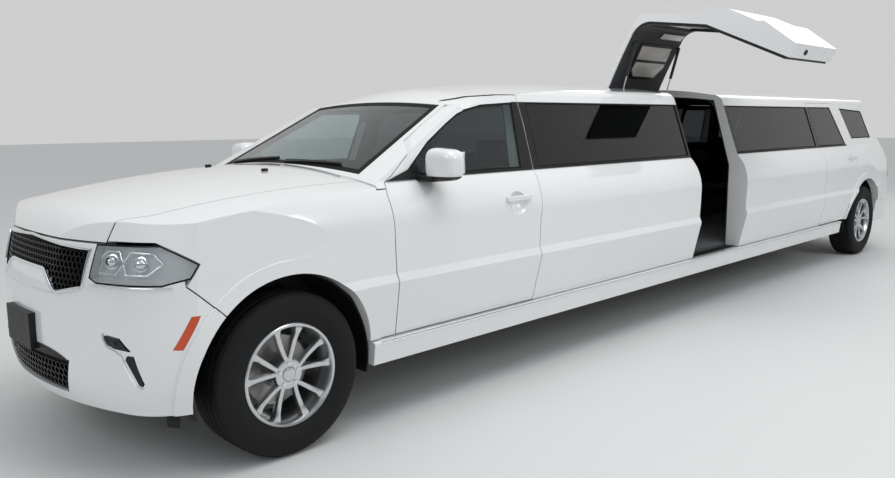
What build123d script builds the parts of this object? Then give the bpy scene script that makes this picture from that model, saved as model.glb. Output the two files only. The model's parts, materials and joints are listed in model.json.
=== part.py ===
from build123d import *
from math import atan2, cos, degrees, hypot, radians, sin, tan
import os

# Stretch limousine on a large utility-vehicle body, all sizes in millimetres.
# X runs forward, Y to the left, Z up. The origin lies on the centreline at mid wheelbase,
# on the underside of the frame's middle lift pad, DATUM_HEIGHT above the ground.
WHEELBASE = 7610
TRACK = 1623
DATUM_HEIGHT = 235
TYRE_RADIUS = 385
FRONT_X = WHEELBASE / 2
REAR_X = -WHEELBASE / 2
AXLE_Z = TYRE_RADIUS - DATUM_HEIGHT
GAP = 6

# Body section, half width and height of each line along the side
SKIRT_BOTTOM_Z = 85
SILL_Y, SILL_Z = 902, 209
CREASE_Y, CREASE_Z = 967, 498
FLANK_Y, FLANK_Z = 950, 540
WAIST_Y, WAIST_Z = 956, 735
SHOULDER_Y, SHOULDER_Z = 928, 890
BELT_Y, BELT_Z = 853, 998
WINDOW_TOP_Z = 1408
RAIL_Y, RAIL_Z = 695, 1451
CANT_Y, CANT_Z = 662, 1487
ROOF_EDGE_Y, ROOF_EDGE_Z = 600, 1503
ROOF_Z = 1558
ROOF_CROWN_R = ROOF_EDGE_Y ** 2 / (2 * (ROOF_Z - ROOF_EDGE_Z))

# Cabin lining, half width and height
WALL_INNER_Y = 775
WALL_TOP_Z = 905
LINING_TOP_Y, LINING_TOP_Z = 640, 1360
CEILING_EDGE_Y, CEILING_EDGE_Z = 490, 1465
CEILING_Z = 1490
FLOOR_TOP_Z = 225
FLOOR_THICKNESS = 60

# Lengthwise seams
A_SEAM_X = FRONT_X - 600
B_SEAM_X = FRONT_X - 1840
JET_FRONT_X = FRONT_X - 3762
JET_REAR_X = FRONT_X - 4560
REAR_DOOR_X = REAR_X + 1240
NOSE_X = FRONT_X + 838
TAIL_X = REAR_X - 1130

# Windscreen: lower and upper ends of its centreline, and the radius across it
SCREEN_LOW_X, SCREEN_LOW_Z = FRONT_X - 567, 1056
SCREEN_TOP_X, SCREEN_TOP_Z = FRONT_X - 1300, 1428
SCREEN_R = 6000
SCREEN_ANGLE = atan2(SCREEN_TOP_Z - SCREEN_LOW_Z, SCREEN_LOW_X - SCREEN_TOP_X)

# Roof line in side view: flat, then a long arc, then a short arc into the windscreen
ROOF_LONG_ARC_R = 9000
ROOF_SHORT_ARC_R = 800
ROOF_BREAK = radians(6.5)

# Hood line in side view: a long arc, then a roll over the nose
HOOD_REAR_X = FRONT_X - 558
HOOD_ARC_X = FRONT_X - 550
HOOD_ARC_Z = 1062
HOOD_ROLL_X = FRONT_X + 595
HOOD_ROLL_SLOPE = radians(11)
HOOD_ROLL_END = radians(75)
HOOD_ROLL_R = 220
HOOD_CROWN_R = 4200
HOOD_HALF_W = 745
HOOD_THICKNESS = 45

# Wheel arches
ARCH_R = 475
FLARE_R = 540
FLARE_PROUD = 13

# Half widths between which the door plugs are drawn
PLUG_OUTER_Y, PLUG_INNER_Y = 1010, 480

# Jet door
JET_OPEN_DEG = 66
JET_HINGE_Y = 20
JET_HINGE_Z = ROOF_Z + 2
LINING_T = 22

os.makedirs("parts", exist_ok=True)


def body_face(x, low_z=SILL_Z):
    """Full outer section of the body across the car at x."""
    low_y = SILL_Y if low_z >= SILL_Z else SILL_Y - 22
    with BuildSketch(Plane.YZ.offset(x)) as section:
        with BuildLine():
            Polyline((0, low_z), (low_y, low_z), (SILL_Y, SILL_Z + 1), (CREASE_Y, CREASE_Z),
                     (FLANK_Y, FLANK_Z), (WAIST_Y, WAIST_Z))
            ThreePointArc((WAIST_Y, WAIST_Z), (SHOULDER_Y, SHOULDER_Z), (BELT_Y, BELT_Z))
            Line((BELT_Y, BELT_Z), (RAIL_Y, RAIL_Z))
            ThreePointArc((RAIL_Y, RAIL_Z), (CANT_Y, CANT_Z), (ROOF_EDGE_Y, ROOF_EDGE_Z))
            ThreePointArc((ROOF_EDGE_Y, ROOF_EDGE_Z),
                          (300, ROOF_Z - 300 ** 2 / (2 * ROOF_CROWN_R)), (0, ROOF_Z))
            Line((0, ROOF_Z), (0, low_z))
        make_face()
        mirror(about=Plane.YZ)
    return section.sketch


def cabin_face(x, grow=0):
    """Full section of the cabin's inside at x, grown by the lining's thickness."""
    with BuildSketch(Plane.YZ.offset(x)) as section:
        with BuildLine():
            Polyline((0, 0), (WALL_INNER_Y + grow, 0), (WALL_INNER_Y + grow, WALL_TOP_Z),
                     (LINING_TOP_Y + grow, LINING_TOP_Z + grow / 3))
            ThreePointArc((LINING_TOP_Y + grow, LINING_TOP_Z + grow / 3),
                          (LINING_TOP_Y - 55 + grow * 0.7, LINING_TOP_Z + 76 + grow * 0.7),
                          (CEILING_EDGE_Y, CEILING_EDGE_Z + grow))
            ThreePointArc((CEILING_EDGE_Y, CEILING_EDGE_Z + grow),
                          (CEILING_EDGE_Y / 2, CEILING_Z - 6 + grow), (0, CEILING_Z + grow))
            Line((0, CEILING_Z + grow), (0, 0))
        make_face()
        mirror(about=Plane.YZ)
    return section.sketch


def side_prism(points, y_near, y_far):
    """Block with an outline drawn in side view, between two widths."""
    with BuildPart() as prism:
        with BuildSketch(Plane.XZ.offset(-y_near)):
            Polygon(*points, align=None)
        extrude(amount=y_near - y_far)
    return prism.part


def plug(outer, inner, grow=0):
    """Door-shaped plug: outline at the skin lofted to a shorter outline inside."""
    with BuildPart() as block:
        for points, y in ((outer, PLUG_OUTER_Y), (inner, PLUG_INNER_Y)):
            with BuildSketch(Plane.XZ.offset(-y)):
                Polygon(*points, align=None)
                if grow:
                    offset(amount=grow, kind=Kind.INTERSECTION)
        loft(ruled=True)
    return block.part


def front_prism(points, x_near, x_far):
    """Block with an outline drawn in front view, between two stations."""
    with BuildPart() as prism:
        with BuildSketch(Plane.YZ.offset(x_near)):
            Polygon(*points, align=None)
        extrude(amount=x_far - x_near)
    return prism.part


def plan_prism(points, z_low, z_high):
    """Block with an outline drawn from above, between two heights."""
    with BuildPart() as prism:
        with BuildSketch(Plane.XY.offset(z_low)):
            Polygon(*points, align=None)
        extrude(amount=z_high - z_low)
    return prism.part


def crown_face(plane, crown_r, half=1150, tall=520):
    """Region above a crowned line across the car, used to cut a top surface."""
    drop = half ** 2 / (2 * crown_r)
    with BuildSketch(plane) as region:
        with BuildLine():
            ThreePointArc((-half, -drop), (0, 0), (half, -drop))
            Polyline((half, -drop), (half, tall), (-half, tall), (-half, -drop))
        make_face()
    return region.sketch


def slope_plane(x, z, slope):
    """Plane across the car at a point of a side line that falls forward at slope."""
    return Plane(origin=(x, 0, z), x_dir=(0, 1, 0), z_dir=(cos(slope), 0, -sin(slope)))


def end_face(z, end_x, corner_x, corner_y, side_x, side_y, back_x, back_y):
    """Plan outline of one end of the body: end arc, two corner arcs, two side lines."""
    with BuildSketch(Plane.XY.offset(z)) as outline:
        with BuildLine():
            end = ThreePointArc((corner_x, -corner_y), (end_x, 0), (corner_x, corner_y))
            TangentArc((corner_x, corner_y), (side_x, side_y), tangent=end % 1)
            Polyline((side_x, side_y), (back_x, back_y), (back_x, -back_y), (side_x, -side_y))
            TangentArc((corner_x, -corner_y), (side_x, -side_y), tangent=-(end % 0))
        make_face()
    return outline.sketch


# Nose in plan: height, then end, corner and side points measured from the front axle
NOSE_ROWS = (
    # z, end_x, corner_x, corner_y, side_x, side_y
    (60, 785, 648, 700, 436, 880),
    (180, 826, 686, 710, 446, 905),
    (400, 838, 694, 720, 454, 935),
    (600, 824, 676, 715, 442, 930),
    (800, 780, 630, 700, 418, 905),
    (1100, 726, 570, 680, 388, 880),
)
# Tail in plan: height, then end, corner and side points measured back from the rear axle
TAIL_ROWS = (
    # z, end_x, corner_x, corner_y, side_x, side_y
    (60, 1080, 1000, 720, 800, 890),
    (250, 1130, 1030, 720, 800, 915),
    (520, 1105, 1000, 720, 780, 935),
    (900, 1045, 940, 700, 720, 885),
    (1010, 1000, 900, 660, 690, 836),
    (1440, 700, 620, 560, 500, 690),
    (1600, 600, 530, 520, 430, 640),
)
TAIL_TAPER = tan(radians(3))
with BuildPart() as nose_keep:
    for z, end_x, corner_x, corner_y, side_x, side_y in NOSE_ROWS:
        add(end_face(z, FRONT_X + end_x, FRONT_X + corner_x, corner_y,
                     FRONT_X + side_x, side_y, A_SEAM_X - 300, 1010))
    loft()
with BuildPart() as nose_inner:
    for z, end_x, corner_x, corner_y, side_x, side_y in NOSE_ROWS:
        add(end_face(z, FRONT_X + end_x - 70, FRONT_X + corner_x - 75, corner_y - 40,
                     FRONT_X + side_x - 40, side_y - 65, A_SEAM_X - 300, 920))
    loft()
with BuildPart() as tail_keep:
    for z, end_x, corner_x, corner_y, side_x, side_y in TAIL_ROWS:
        add(end_face(z, REAR_X - end_x, REAR_X - corner_x, corner_y,
                     REAR_X - side_x, side_y, FRONT_X, side_y + (WHEELBASE + side_x) * TAIL_TAPER))
    loft()

with BuildPart() as tail_inner:
    for z, end_x, corner_x, corner_y, side_x, side_y in TAIL_ROWS:
        add(end_face(z, REAR_X - end_x + 90, REAR_X - corner_x + 95, corner_y - 60,
                     REAR_X - side_x + 60, side_y - 80, FRONT_X, side_y + (WHEELBASE + side_x) * TAIL_TAPER))
    loft()

# Front body: lower section run forward, trimmed by the nose and by the hood line
hood_arc_r = (HOOD_ROLL_X - HOOD_ARC_X) / sin(HOOD_ROLL_SLOPE)
hood_roll_z = HOOD_ARC_Z - hood_arc_r * (1 - cos(HOOD_ROLL_SLOPE))
hood_end_x = HOOD_ROLL_X + HOOD_ROLL_R * (sin(HOOD_ROLL_END) - sin(HOOD_ROLL_SLOPE))
hood_end_z = hood_roll_z - HOOD_ROLL_R * (cos(HOOD_ROLL_SLOPE) - cos(HOOD_ROLL_END))
with BuildPart() as front_body:
    extrude(body_face(A_SEAM_X - 200, SKIRT_BOTTOM_Z), amount=1900, dir=(1, 0, 0))
    add(nose_keep.part, mode=Mode.INTERSECT)
    extrude(crown_face(slope_plane(HOOD_ARC_X, HOOD_ARC_Z, 0), HOOD_CROWN_R),
            amount=500, dir=(-1, 0, 0), mode=Mode.SUBTRACT)
    revolve(crown_face(slope_plane(HOOD_ARC_X, HOOD_ARC_Z, 0), HOOD_CROWN_R),
            axis=Axis((HOOD_ARC_X, 0, HOOD_ARC_Z - hood_arc_r), (0, 1, 0)),
            revolution_arc=degrees(HOOD_ROLL_SLOPE), mode=Mode.SUBTRACT)
    revolve(crown_face(slope_plane(HOOD_ROLL_X, hood_roll_z, HOOD_ROLL_SLOPE), HOOD_CROWN_R),
            axis=Axis((HOOD_ROLL_X - HOOD_ROLL_R * sin(HOOD_ROLL_SLOPE), 0,
                       hood_roll_z - HOOD_ROLL_R * cos(HOOD_ROLL_SLOPE)), (0, 1, 0)),
            revolution_arc=degrees(HOOD_ROLL_END - HOOD_ROLL_SLOPE), mode=Mode.SUBTRACT)
    extrude(crown_face(slope_plane(hood_end_x, hood_end_z, HOOD_ROLL_END), HOOD_CROWN_R),
            amount=600, dir=(cos(HOOD_ROLL_END), 0, -sin(HOOD_ROLL_END)), mode=Mode.SUBTRACT)

# Cabin: whole section run back from the cowl, trimmed by roof line, windscreen and tail
roof_break_drop = ROOF_LONG_ARC_R * (1 - cos(ROOF_BREAK))
roof_short_span = ROOF_SHORT_ARC_R * (sin(SCREEN_ANGLE) - sin(ROOF_BREAK))
ROOF_BREAK_X = SCREEN_TOP_X - roof_short_span
ROOF_FLAT_X = ROOF_BREAK_X - ROOF_LONG_ARC_R * sin(ROOF_BREAK)
with BuildPart() as cabin_body:
    extrude(body_face(A_SEAM_X + 130), amount=A_SEAM_X - TAIL_X + 330, dir=(-1, 0, 0))
    add(tail_keep.part, mode=Mode.INTERSECT)
    revolve(crown_face(slope_plane(ROOF_FLAT_X, ROOF_Z, 0), ROOF_CROWN_R),
            axis=Axis((ROOF_FLAT_X, 0, ROOF_Z - ROOF_LONG_ARC_R), (0, 1, 0)),
            revolution_arc=degrees(ROOF_BREAK), mode=Mode.SUBTRACT)
    revolve(crown_face(slope_plane(ROOF_BREAK_X, ROOF_Z - roof_break_drop, ROOF_BREAK), ROOF_CROWN_R),
            axis=Axis((ROOF_BREAK_X - ROOF_SHORT_ARC_R * sin(ROOF_BREAK), 0,
                       ROOF_Z - roof_break_drop - ROOF_SHORT_ARC_R * cos(ROOF_BREAK)), (0, 1, 0)),
            revolution_arc=degrees(SCREEN_ANGLE - ROOF_BREAK), mode=Mode.SUBTRACT)
    extrude(crown_face(slope_plane(SCREEN_TOP_X - 60 * cos(SCREEN_ANGLE),
                                   SCREEN_TOP_Z + 60 * sin(SCREEN_ANGLE), SCREEN_ANGLE), SCREEN_R),
            amount=1300, dir=(cos(SCREEN_ANGLE), 0, -sin(SCREEN_ANGLE)), mode=Mode.SUBTRACT)

# Inside of the cabin in side view, clear of windscreen and tail by the frame's depth
CABIN_PROFILE = (
    (A_SEAM_X + 250, -50), (A_SEAM_X + 250, 890), (SCREEN_LOW_X - 38, SCREEN_LOW_Z - 76),
    (SCREEN_TOP_X - 38, SCREEN_TOP_Z - 76), (SCREEN_TOP_X - 250, 1430), (SCREEN_TOP_X - 700, 1480),
    (SCREEN_TOP_X - 1300, 1700), (TAIL_X, 1700), (TAIL_X, -50),
)
with BuildPart() as cabin_space:
    extrude(cabin_face(A_SEAM_X + 250), amount=A_SEAM_X + 250 - TAIL_X, dir=(-1, 0, 0))
    add(side_prism(CABIN_PROFILE, -900, 900), mode=Mode.INTERSECT)
    with Locations((0, 0, -500)):
        Box(20000, 3000, 1130, mode=Mode.SUBTRACT)
    add(tail_inner.part, mode=Mode.INTERSECT)
with BuildPart() as cabin_shell:
    add(cabin_body.part)
    add(cabin_space.part, mode=Mode.SUBTRACT)
    for axle_x in (FRONT_X, REAR_X):
        with BuildSketch(Plane.XZ.offset(-1100)):
            with Locations((axle_x, AXLE_Z)):
                Circle(ARCH_R)
        extrude(amount=2200, mode=Mode.SUBTRACT)

# Side-view outlines of the doors at the skin and at the lining
FRONT_DOOR_FRONT = (
    (A_SEAM_X - 48, SILL_Z + 4), (A_SEAM_X - 14, 700), (A_SEAM_X - 8, 930), (A_SEAM_X - 28, 987),
    (A_SEAM_X - 84, 1017), (A_SEAM_X - 334, 1195), (A_SEAM_X - 516, 1298), (A_SEAM_X - 650, 1367),
    (A_SEAM_X - 781, 1412), (A_SEAM_X - 908, 1436), (A_SEAM_X - 1100, RAIL_Z - 3),
)
# Rear edge of the front door: its face slants forward inside, so that the door swings clear
FRONT_DOOR_EDGE = (
    # z, x at the skin from the B seam, half width of the skin, slant of the face
    (RAIL_Z - 3, 16, 696, 0.30),
    (1277, 10, 756, 0.24),
    (997, 27, 853, 0.17),
    (900, 51, 925, 0.16),
    (709, 74, 955, 0.15),
    (SILL_Z + 4, 85, 903, 0.15),
)


def front_door_outline(y):
    """Side-view outline of the front door at a half width."""
    edge = [(B_SEAM_X + x + slant * (skin_y - y), z) for z, x, skin_y, slant in FRONT_DOOR_EDGE]
    return (*FRONT_DOOR_FRONT, *edge)


FRONT_DOOR_OUTER = front_door_outline(PLUG_OUTER_Y)
FRONT_DOOR_INNER = front_door_outline(PLUG_INNER_Y)
# Rear edge of the rear door: its face slants forward inside, so that the door swings clear
REAR_DOOR_EDGE = (
    # z, x at the skin from the rear axle, half width of the skin, slant of the face
    (RAIL_Z - 3, 545, 696, 0.60),
    (1000, 362, 852, 0.36),
    (780, 345, 950, 0.31),
    (560, 400, 952, 0.31),
    (380, 490, 940, 0.31),
    (SILL_Z + 4, 530, 903, 0.31),
)


def rear_door_outline(y):
    """Side-view outline of the rear door at a half width."""
    edge = [(REAR_X + x + slant * (skin_y - y), z) for z, x, skin_y, slant in REAR_DOOR_EDGE]
    return ((REAR_DOOR_X - 3, SILL_Z + 4), (REAR_DOOR_X - 3, RAIL_Z - 3), *edge)


REAR_DOOR_OUTER = rear_door_outline(PLUG_OUTER_Y)
REAR_DOOR_INNER = rear_door_outline(PLUG_INNER_Y)
# Side-view outlines of the window openings
FRONT_WINDOW = (
    (A_SEAM_X - 212, 1012), (A_SEAM_X - 204, 1046), (A_SEAM_X - 392, 1186), (A_SEAM_X - 564, 1282),
    (A_SEAM_X - 673, 1336), (A_SEAM_X - 763, 1364), (A_SEAM_X - 891, 1389), (B_SEAM_X + 65, WINDOW_TOP_Z - 3),
    (B_SEAM_X + 130, 1012),
)
REAR_WINDOW = (
    (REAR_DOOR_X - 32, 1010), (REAR_DOOR_X - 32, WINDOW_TOP_Z), (REAR_X + 610, WINDOW_TOP_Z),
    (REAR_X + 445, 1010),
)
QUARTER_WINDOW = (
    (REAR_X + 215, 1070), (REAR_X + 330, WINDOW_TOP_Z - 8), (REAR_X - 330, 1370), (REAR_X - 400, 1070),
)
STRETCH_WINDOWS = (
    # low front, top front, top rear and low rear x of the long panes ahead of and behind the jet door
    (B_SEAM_X - 30, B_SEAM_X - 58, JET_FRONT_X + 30, JET_FRONT_X + 30),
    (JET_REAR_X - 30, JET_REAR_X - 30, REAR_DOOR_X + 32, REAR_DOOR_X + 32),
)


def pane_points(low_front, top_front, top_rear, low_rear):
    """Outline of a four-sided window under the rail."""
    return ((low_front, 1010), (top_front, WINDOW_TOP_Z), (top_rear, WINDOW_TOP_Z), (low_rear, 1010))


def glass_strip(x_front, x_rear):
    """Tilted glass layer of the left side between two stations."""
    with BuildPart() as strip:
        with BuildSketch(Plane.YZ.offset(x_rear)):
            Polygon((BELT_Y - 4, BELT_Z), (BELT_Y - 10, BELT_Z),
                    (RAIL_Y - 10, RAIL_Z), (RAIL_Y - 4, RAIL_Z), align=None)
        extrude(amount=x_front - x_rear)
    return strip.part


def pane(points, seat=0.3):
    """One pane of side glass, clear of its opening by the seat."""
    xs = [x for x, z in points]
    with BuildPart() as glass:
        add(glass_strip(max(xs) + 5, min(xs) - 5))
        with BuildSketch(Plane.XZ.offset(-1000)):
            Polygon(*points, align=None)
            offset(amount=-seat, kind=Kind.INTERSECTION)
        extrude(amount=500, mode=Mode.INTERSECT)
    return glass.part


# Jet door slab, from the hinge line on the roof out over the left side
JET_REGION = ((JET_REAR_X + 3, JET_HINGE_Y + 3), (JET_FRONT_X - 3, JET_HINGE_Y + 3),
              (JET_FRONT_X - 3, 1100), (JET_REAR_X + 3, 1100))
JET_CUT = ((JET_REAR_X - 3, JET_HINGE_Y - 3), (JET_FRONT_X + 3, JET_HINGE_Y - 3),
           (JET_FRONT_X + 3, 1100), (JET_REAR_X - 3, 1100))
JET_WINDOW = pane_points(JET_FRONT_X - 75, JET_FRONT_X - 75, JET_REAR_X + 75, JET_REAR_X + 75)
jet_hinge = Axis((0, JET_HINGE_Y, JET_HINGE_Z), (1, 0, 0))

# Tailgate in rear view
TAILGATE = ((-705, 352), (-705, 890), (-575, 1452), (575, 1452), (705, 890), (705, 352))
TAILGATE_CUT = ((-711, 0), (-711, 931), (-580, 1460), (580, 1460), (711, 931), (711, 0))
TAIL_WINDOW = ((-560, 1040), (-470, 1400), (470, 1400), (560, 1040))
TAIL_LAMP = ((716, 600), (716, 800), (1000, 800), (1000, 600))
BUMPER_TOP_Z = 344

# Front view outlines
GRILLE = ((-535, 778), (-520, 612), (-330, 572), (330, 572), (520, 612), (535, 778), (0, 803))
HEADLAMP = ((556, 800), (545, 658), (590, 638), (860, 638), (1000, 700), (1000, 805))
LOWER_OPENING = ((-420, 290), (-360, 130), (360, 130), (420, 290))
FOG = ((632, 438), (722, 430), (782, 366), (812, 225), (798, 212), (778, 222), (722, 352), (700, 366),
       (655, 382), (636, 410))
MARKER = ((FRONT_X + 434, 512), (FRONT_X + 508, 374), (FRONT_X + 545, 378), (FRONT_X + 472, 512))
# Side view of the headlamp's pointed rear end, from above to below
LAMP_TIP = ((FRONT_X + 553, 812), (FRONT_X + 417, 721), (FRONT_X + 478, 634))
# Side view of the seam that falls from the headlamp to the wheel arch
BUMPER_SEAM = ((FRONT_X + 478, 634), (FRONT_X + 388, 548), (FRONT_X + 290, 452))

# Jet door hinge knuckles and the gas struts' pins on the roof
HINGE_R, HINGE_NOTCH_R = 7, 13
HINGE_X = (JET_FRONT_X - 120, (JET_FRONT_X + JET_REAR_X) / 2, JET_REAR_X + 120)
STRUT_FOOT_Y, STRUT_FOOT_Z = 165, 1445
STRUT_PINS = ((JET_FRONT_X - 45, -1), (JET_REAR_X + 45, 1))

# Windscreen opening in the slope of the glass: half width and distance up the slope
SCREEN = ((-690, 15), (690, 15), (585, 790), (-585, 790))
screen_plane = slope_plane(SCREEN_LOW_X, SCREEN_LOW_Z, SCREEN_ANGLE - radians(90))

# Fixed body panels
PILLAR_FOOT_Z = 965
SCREEN_FRAME = 34


def mirrored(shape):
    """The same shape on the other side of the car."""
    return mirror(shape, about=Plane.XZ, mode=Mode.PRIVATE)


def arch_band(axle_x):
    """Ring round a wheel arch, through the left side of the body."""
    with BuildPart() as band:
        with BuildSketch(Plane.XZ.offset(-600)):
            with Locations((axle_x, AXLE_Z)):
                Circle(FLARE_R)
                Circle(ARCH_R, mode=Mode.SUBTRACT)
        extrude(amount=-500)
    return band.part




def screen_block(grow):
    """Block through the windscreen's opening, grown by the width of its frame."""
    with BuildPart() as block:
        with BuildSketch(screen_plane.offset(-300)):
            Polygon(*SCREEN, align=None)
            offset(amount=grow, kind=Kind.INTERSECTION)
        extrude(amount=600)
    return block.part


with BuildPart() as front_door_space:
    add(plug(FRONT_DOOR_OUTER, FRONT_DOOR_INNER, GAP))
    add(screen_block(SCREEN_FRAME), mode=Mode.SUBTRACT)
front_door_cut = front_door_space.part
rear_door_cut = plug(REAR_DOOR_OUTER, REAR_DOOR_INNER, GAP)

with BuildPart() as roof:
    add(cabin_shell.part)
    add(side_prism(((A_SEAM_X + 200, -100), (A_SEAM_X + 200, PILLAR_FOOT_Z), (B_SEAM_X + 90, PILLAR_FOOT_Z),
                    (B_SEAM_X + 90, RAIL_Z), (TAIL_X - 100, RAIL_Z), (TAIL_X - 100, -100)),
                   -1100, 1100), mode=Mode.SUBTRACT)
    for cut in (front_door_cut, mirrored(front_door_cut)):
        add(cut, mode=Mode.SUBTRACT)
    add(plan_prism(JET_CUT, 0, 2000), mode=Mode.SUBTRACT)
    with BuildSketch(screen_plane.offset(-300)):
        Polygon(*SCREEN, align=None)
    extrude(amount=600, mode=Mode.SUBTRACT)
    add(front_prism(TAILGATE_CUT, TAIL_X - 100, REAR_X - 420), mode=Mode.SUBTRACT)
    with Locations((HOOD_REAR_X - 3, 0, 1000)):
        Box(500, 2400, 600, align=(Align.MIN, Align.CENTER, Align.CENTER), mode=Mode.SUBTRACT)
    for x in HINGE_X:
        with Locations((x - 20.15, JET_HINGE_Y, JET_HINGE_Z)):
            Cylinder(HINGE_NOTCH_R, 46, rotation=(0, 90, 0), mode=Mode.SUBTRACT)
        with Locations((x + 20.15, JET_HINGE_Y, JET_HINGE_Z)):
            Cylinder(HINGE_R, 40, rotation=(0, 90, 0))
    for x, inward in STRUT_PINS:
        with Locations((x - inward * 55, STRUT_FOOT_Y, STRUT_FOOT_Z + 22)):
            Box(12, 40, 70)
        with Locations((x - inward * 32.65, STRUT_FOOT_Y, STRUT_FOOT_Z)):
            Cylinder(7, 44.7, rotation=(0, 90, 0))
roof.part.label = "roof"
export_step(roof.part, "parts/roof.step")


def windows_cut(point_lists):
    """Through cuts for a list of side windows, on the left."""
    with BuildPart() as cuts:
        for points in point_lists:
            with BuildSketch(Plane.XZ.offset(-1100)):
                Polygon(*points, align=None)
            extrude(amount=650)
    return cuts.part


stretch_panes = [pane_points(*row) for row in STRETCH_WINDOWS]
SIDE_TOP_Z = RAIL_Z - 0.3
with BuildPart() as stretch_region:
    for x_front, x_rear in ((B_SEAM_X + 120, JET_FRONT_X + 3), (JET_REAR_X - 3, REAR_DOOR_X + 3)):
        add(side_prism(((x_front, 0), (x_front, SIDE_TOP_Z), (x_rear, SIDE_TOP_Z), (x_rear, 0)), PLUG_INNER_Y, 1100))
with BuildPart() as left_stretch_panels:
    add(cabin_shell.part)
    add(stretch_region.part, mode=Mode.INTERSECT)
    add(front_door_cut, mode=Mode.SUBTRACT)
    add(windows_cut(stretch_panes), mode=Mode.SUBTRACT)
left_stretch_panels.part.label = "left_stretch_panels"
export_step(left_stretch_panels.part, "parts/left_stretch_panels.step")

with BuildPart() as right_stretch_panel:
    add(cabin_shell.part)
    add(side_prism(((B_SEAM_X + 120, 0), (B_SEAM_X + 120, SIDE_TOP_Z), (REAR_DOOR_X + 3, SIDE_TOP_Z),
                    (REAR_DOOR_X + 3, 0)), -1100, -PLUG_INNER_Y), mode=Mode.INTERSECT)
    add(mirrored(front_door_cut), mode=Mode.SUBTRACT)
    add(mirrored(windows_cut(stretch_panes + [JET_WINDOW])), mode=Mode.SUBTRACT)
right_stretch_panel.part.label = "right_stretch_panel"
export_step(right_stretch_panel.part, "parts/right_stretch_panel.step")

with BuildPart() as rear_lip:
    add(cabin_body.part.moved(Location((0, FLARE_PROUD, 0))))
    add(cabin_space.part, mode=Mode.SUBTRACT)
    add(arch_band(REAR_X), mode=Mode.INTERSECT)
with BuildPart() as quarter_left:
    add(cabin_shell.part)
    add(rear_lip.part)
    add(side_prism(((REAR_X + 700, 0), (REAR_X + 700, SIDE_TOP_Z), (TAIL_X - 100, SIDE_TOP_Z),
                    (TAIL_X - 100, BUMPER_TOP_Z + 3), (REAR_X - 300, BUMPER_TOP_Z + 3), (REAR_X - 300, 0)),
                   300, 1100), mode=Mode.INTERSECT)
    add(rear_door_cut, mode=Mode.SUBTRACT)
    add(windows_cut([QUARTER_WINDOW]), mode=Mode.SUBTRACT)
    add(front_prism(TAILGATE_CUT, TAIL_X - 100, REAR_X - 420), mode=Mode.SUBTRACT)
    add(front_prism(TAIL_LAMP, TAIL_X - 100, REAR_X - 740), mode=Mode.SUBTRACT)
with BuildPart() as rear_quarters:
    add(quarter_left.part)
    add(mirrored(quarter_left.part))
rear_quarters.part.label = "rear_quarters"
export_step(rear_quarters.part, "parts/rear_quarters.step")

with BuildPart() as lamp_left:
    add(cabin_shell.part)
    with BuildSketch(Plane.YZ.offset(TAIL_X - 100)):
        Polygon(*TAIL_LAMP, align=None)
        offset(amount=-0.3, kind=Kind.INTERSECTION)
    extrude(amount=REAR_X - 740.3 - TAIL_X + 100, mode=Mode.INTERSECT)
with BuildPart() as tail_lamps:
    add(lamp_left.part)
    add(mirrored(lamp_left.part))
tail_lamps.part.label = "tail_lamps"
export_step(tail_lamps.part, "parts/tail_lamps.step")

with BuildPart() as rear_bumper:
    extrude(body_face(REAR_X - 300, SKIRT_BOTTOM_Z), amount=1100, dir=(-1, 0, 0))
    add(tail_keep.part, mode=Mode.INTERSECT)
    add(side_prism(((REAR_X - 300, 0), (REAR_X - 300, BUMPER_TOP_Z), (TAIL_X - 100, BUMPER_TOP_Z),
                    (TAIL_X - 100, 0)), -1100, 1100), mode=Mode.INTERSECT)
    with BuildSketch(Plane.XZ.offset(-1100)):
        with Locations((REAR_X, AXLE_Z)):
            Circle(ARCH_R)
    extrude(amount=2200, mode=Mode.SUBTRACT)
    add(tail_inner.part, mode=Mode.SUBTRACT)
rear_bumper.part.label = "rear_bumper"
export_step(rear_bumper.part, "parts/rear_bumper.step")

with BuildPart() as tailgate:
    add(cabin_shell.part)
    add(front_prism(TAILGATE, TAIL_X - 100, REAR_X - 425), mode=Mode.INTERSECT)
    add(front_prism(TAIL_WINDOW, TAIL_X - 100, REAR_X - 300), mode=Mode.SUBTRACT)
tailgate.part.label = "tailgate"
export_step(tailgate.part, "parts/tailgate.step")

with BuildPart() as tailgate_glass:
    add(cabin_body.part)
    add(cabin_body.part.moved(Location((6, 0, 0))), mode=Mode.SUBTRACT)
    with BuildSketch(Plane.YZ.offset(TAIL_X - 100)):
        Polygon(*TAIL_WINDOW, align=None)
        offset(amount=-0.3, kind=Kind.INTERSECTION)
    extrude(amount=REAR_X - 300 - TAIL_X + 100, mode=Mode.INTERSECT)
tailgate_glass.part.label = "tailgate_glass"
export_step(tailgate_glass.part, "parts/tailgate_glass.step")

with BuildPart() as windscreen:
    with BuildSketch(slope_plane(SCREEN_TOP_X, SCREEN_TOP_Z, SCREEN_ANGLE).offset(-100)):
        with BuildLine():
            drop = 720 ** 2 / (2 * SCREEN_R)
            ThreePointArc((-720, -drop - 2), (0, -2), (720, -drop - 2))
            Line((720, -drop - 2), (720, -drop - 8))
            ThreePointArc((720, -drop - 8), (0, -8), (-720, -drop - 8))
            Line((-720, -drop - 8), (-720, -drop - 2))
        make_face()
    extrude(amount=1000)
    with BuildSketch(screen_plane.offset(-150)):
        Polygon(*SCREEN, align=None)
        offset(amount=-0.3, kind=Kind.INTERSECTION)
    extrude(amount=300, mode=Mode.INTERSECT)
windscreen.part.label = "windscreen"
export_step(windscreen.part, "parts/windscreen.step")

# Pull handle over a finger cup
HANDLE_L, HANDLE_H, HANDLE_T = 215, 30, 16
HANDLE_Y = 957
CUP_R, CUP_DEPTH, CUP_SKIN_Y = 105, 25, 940


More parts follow.
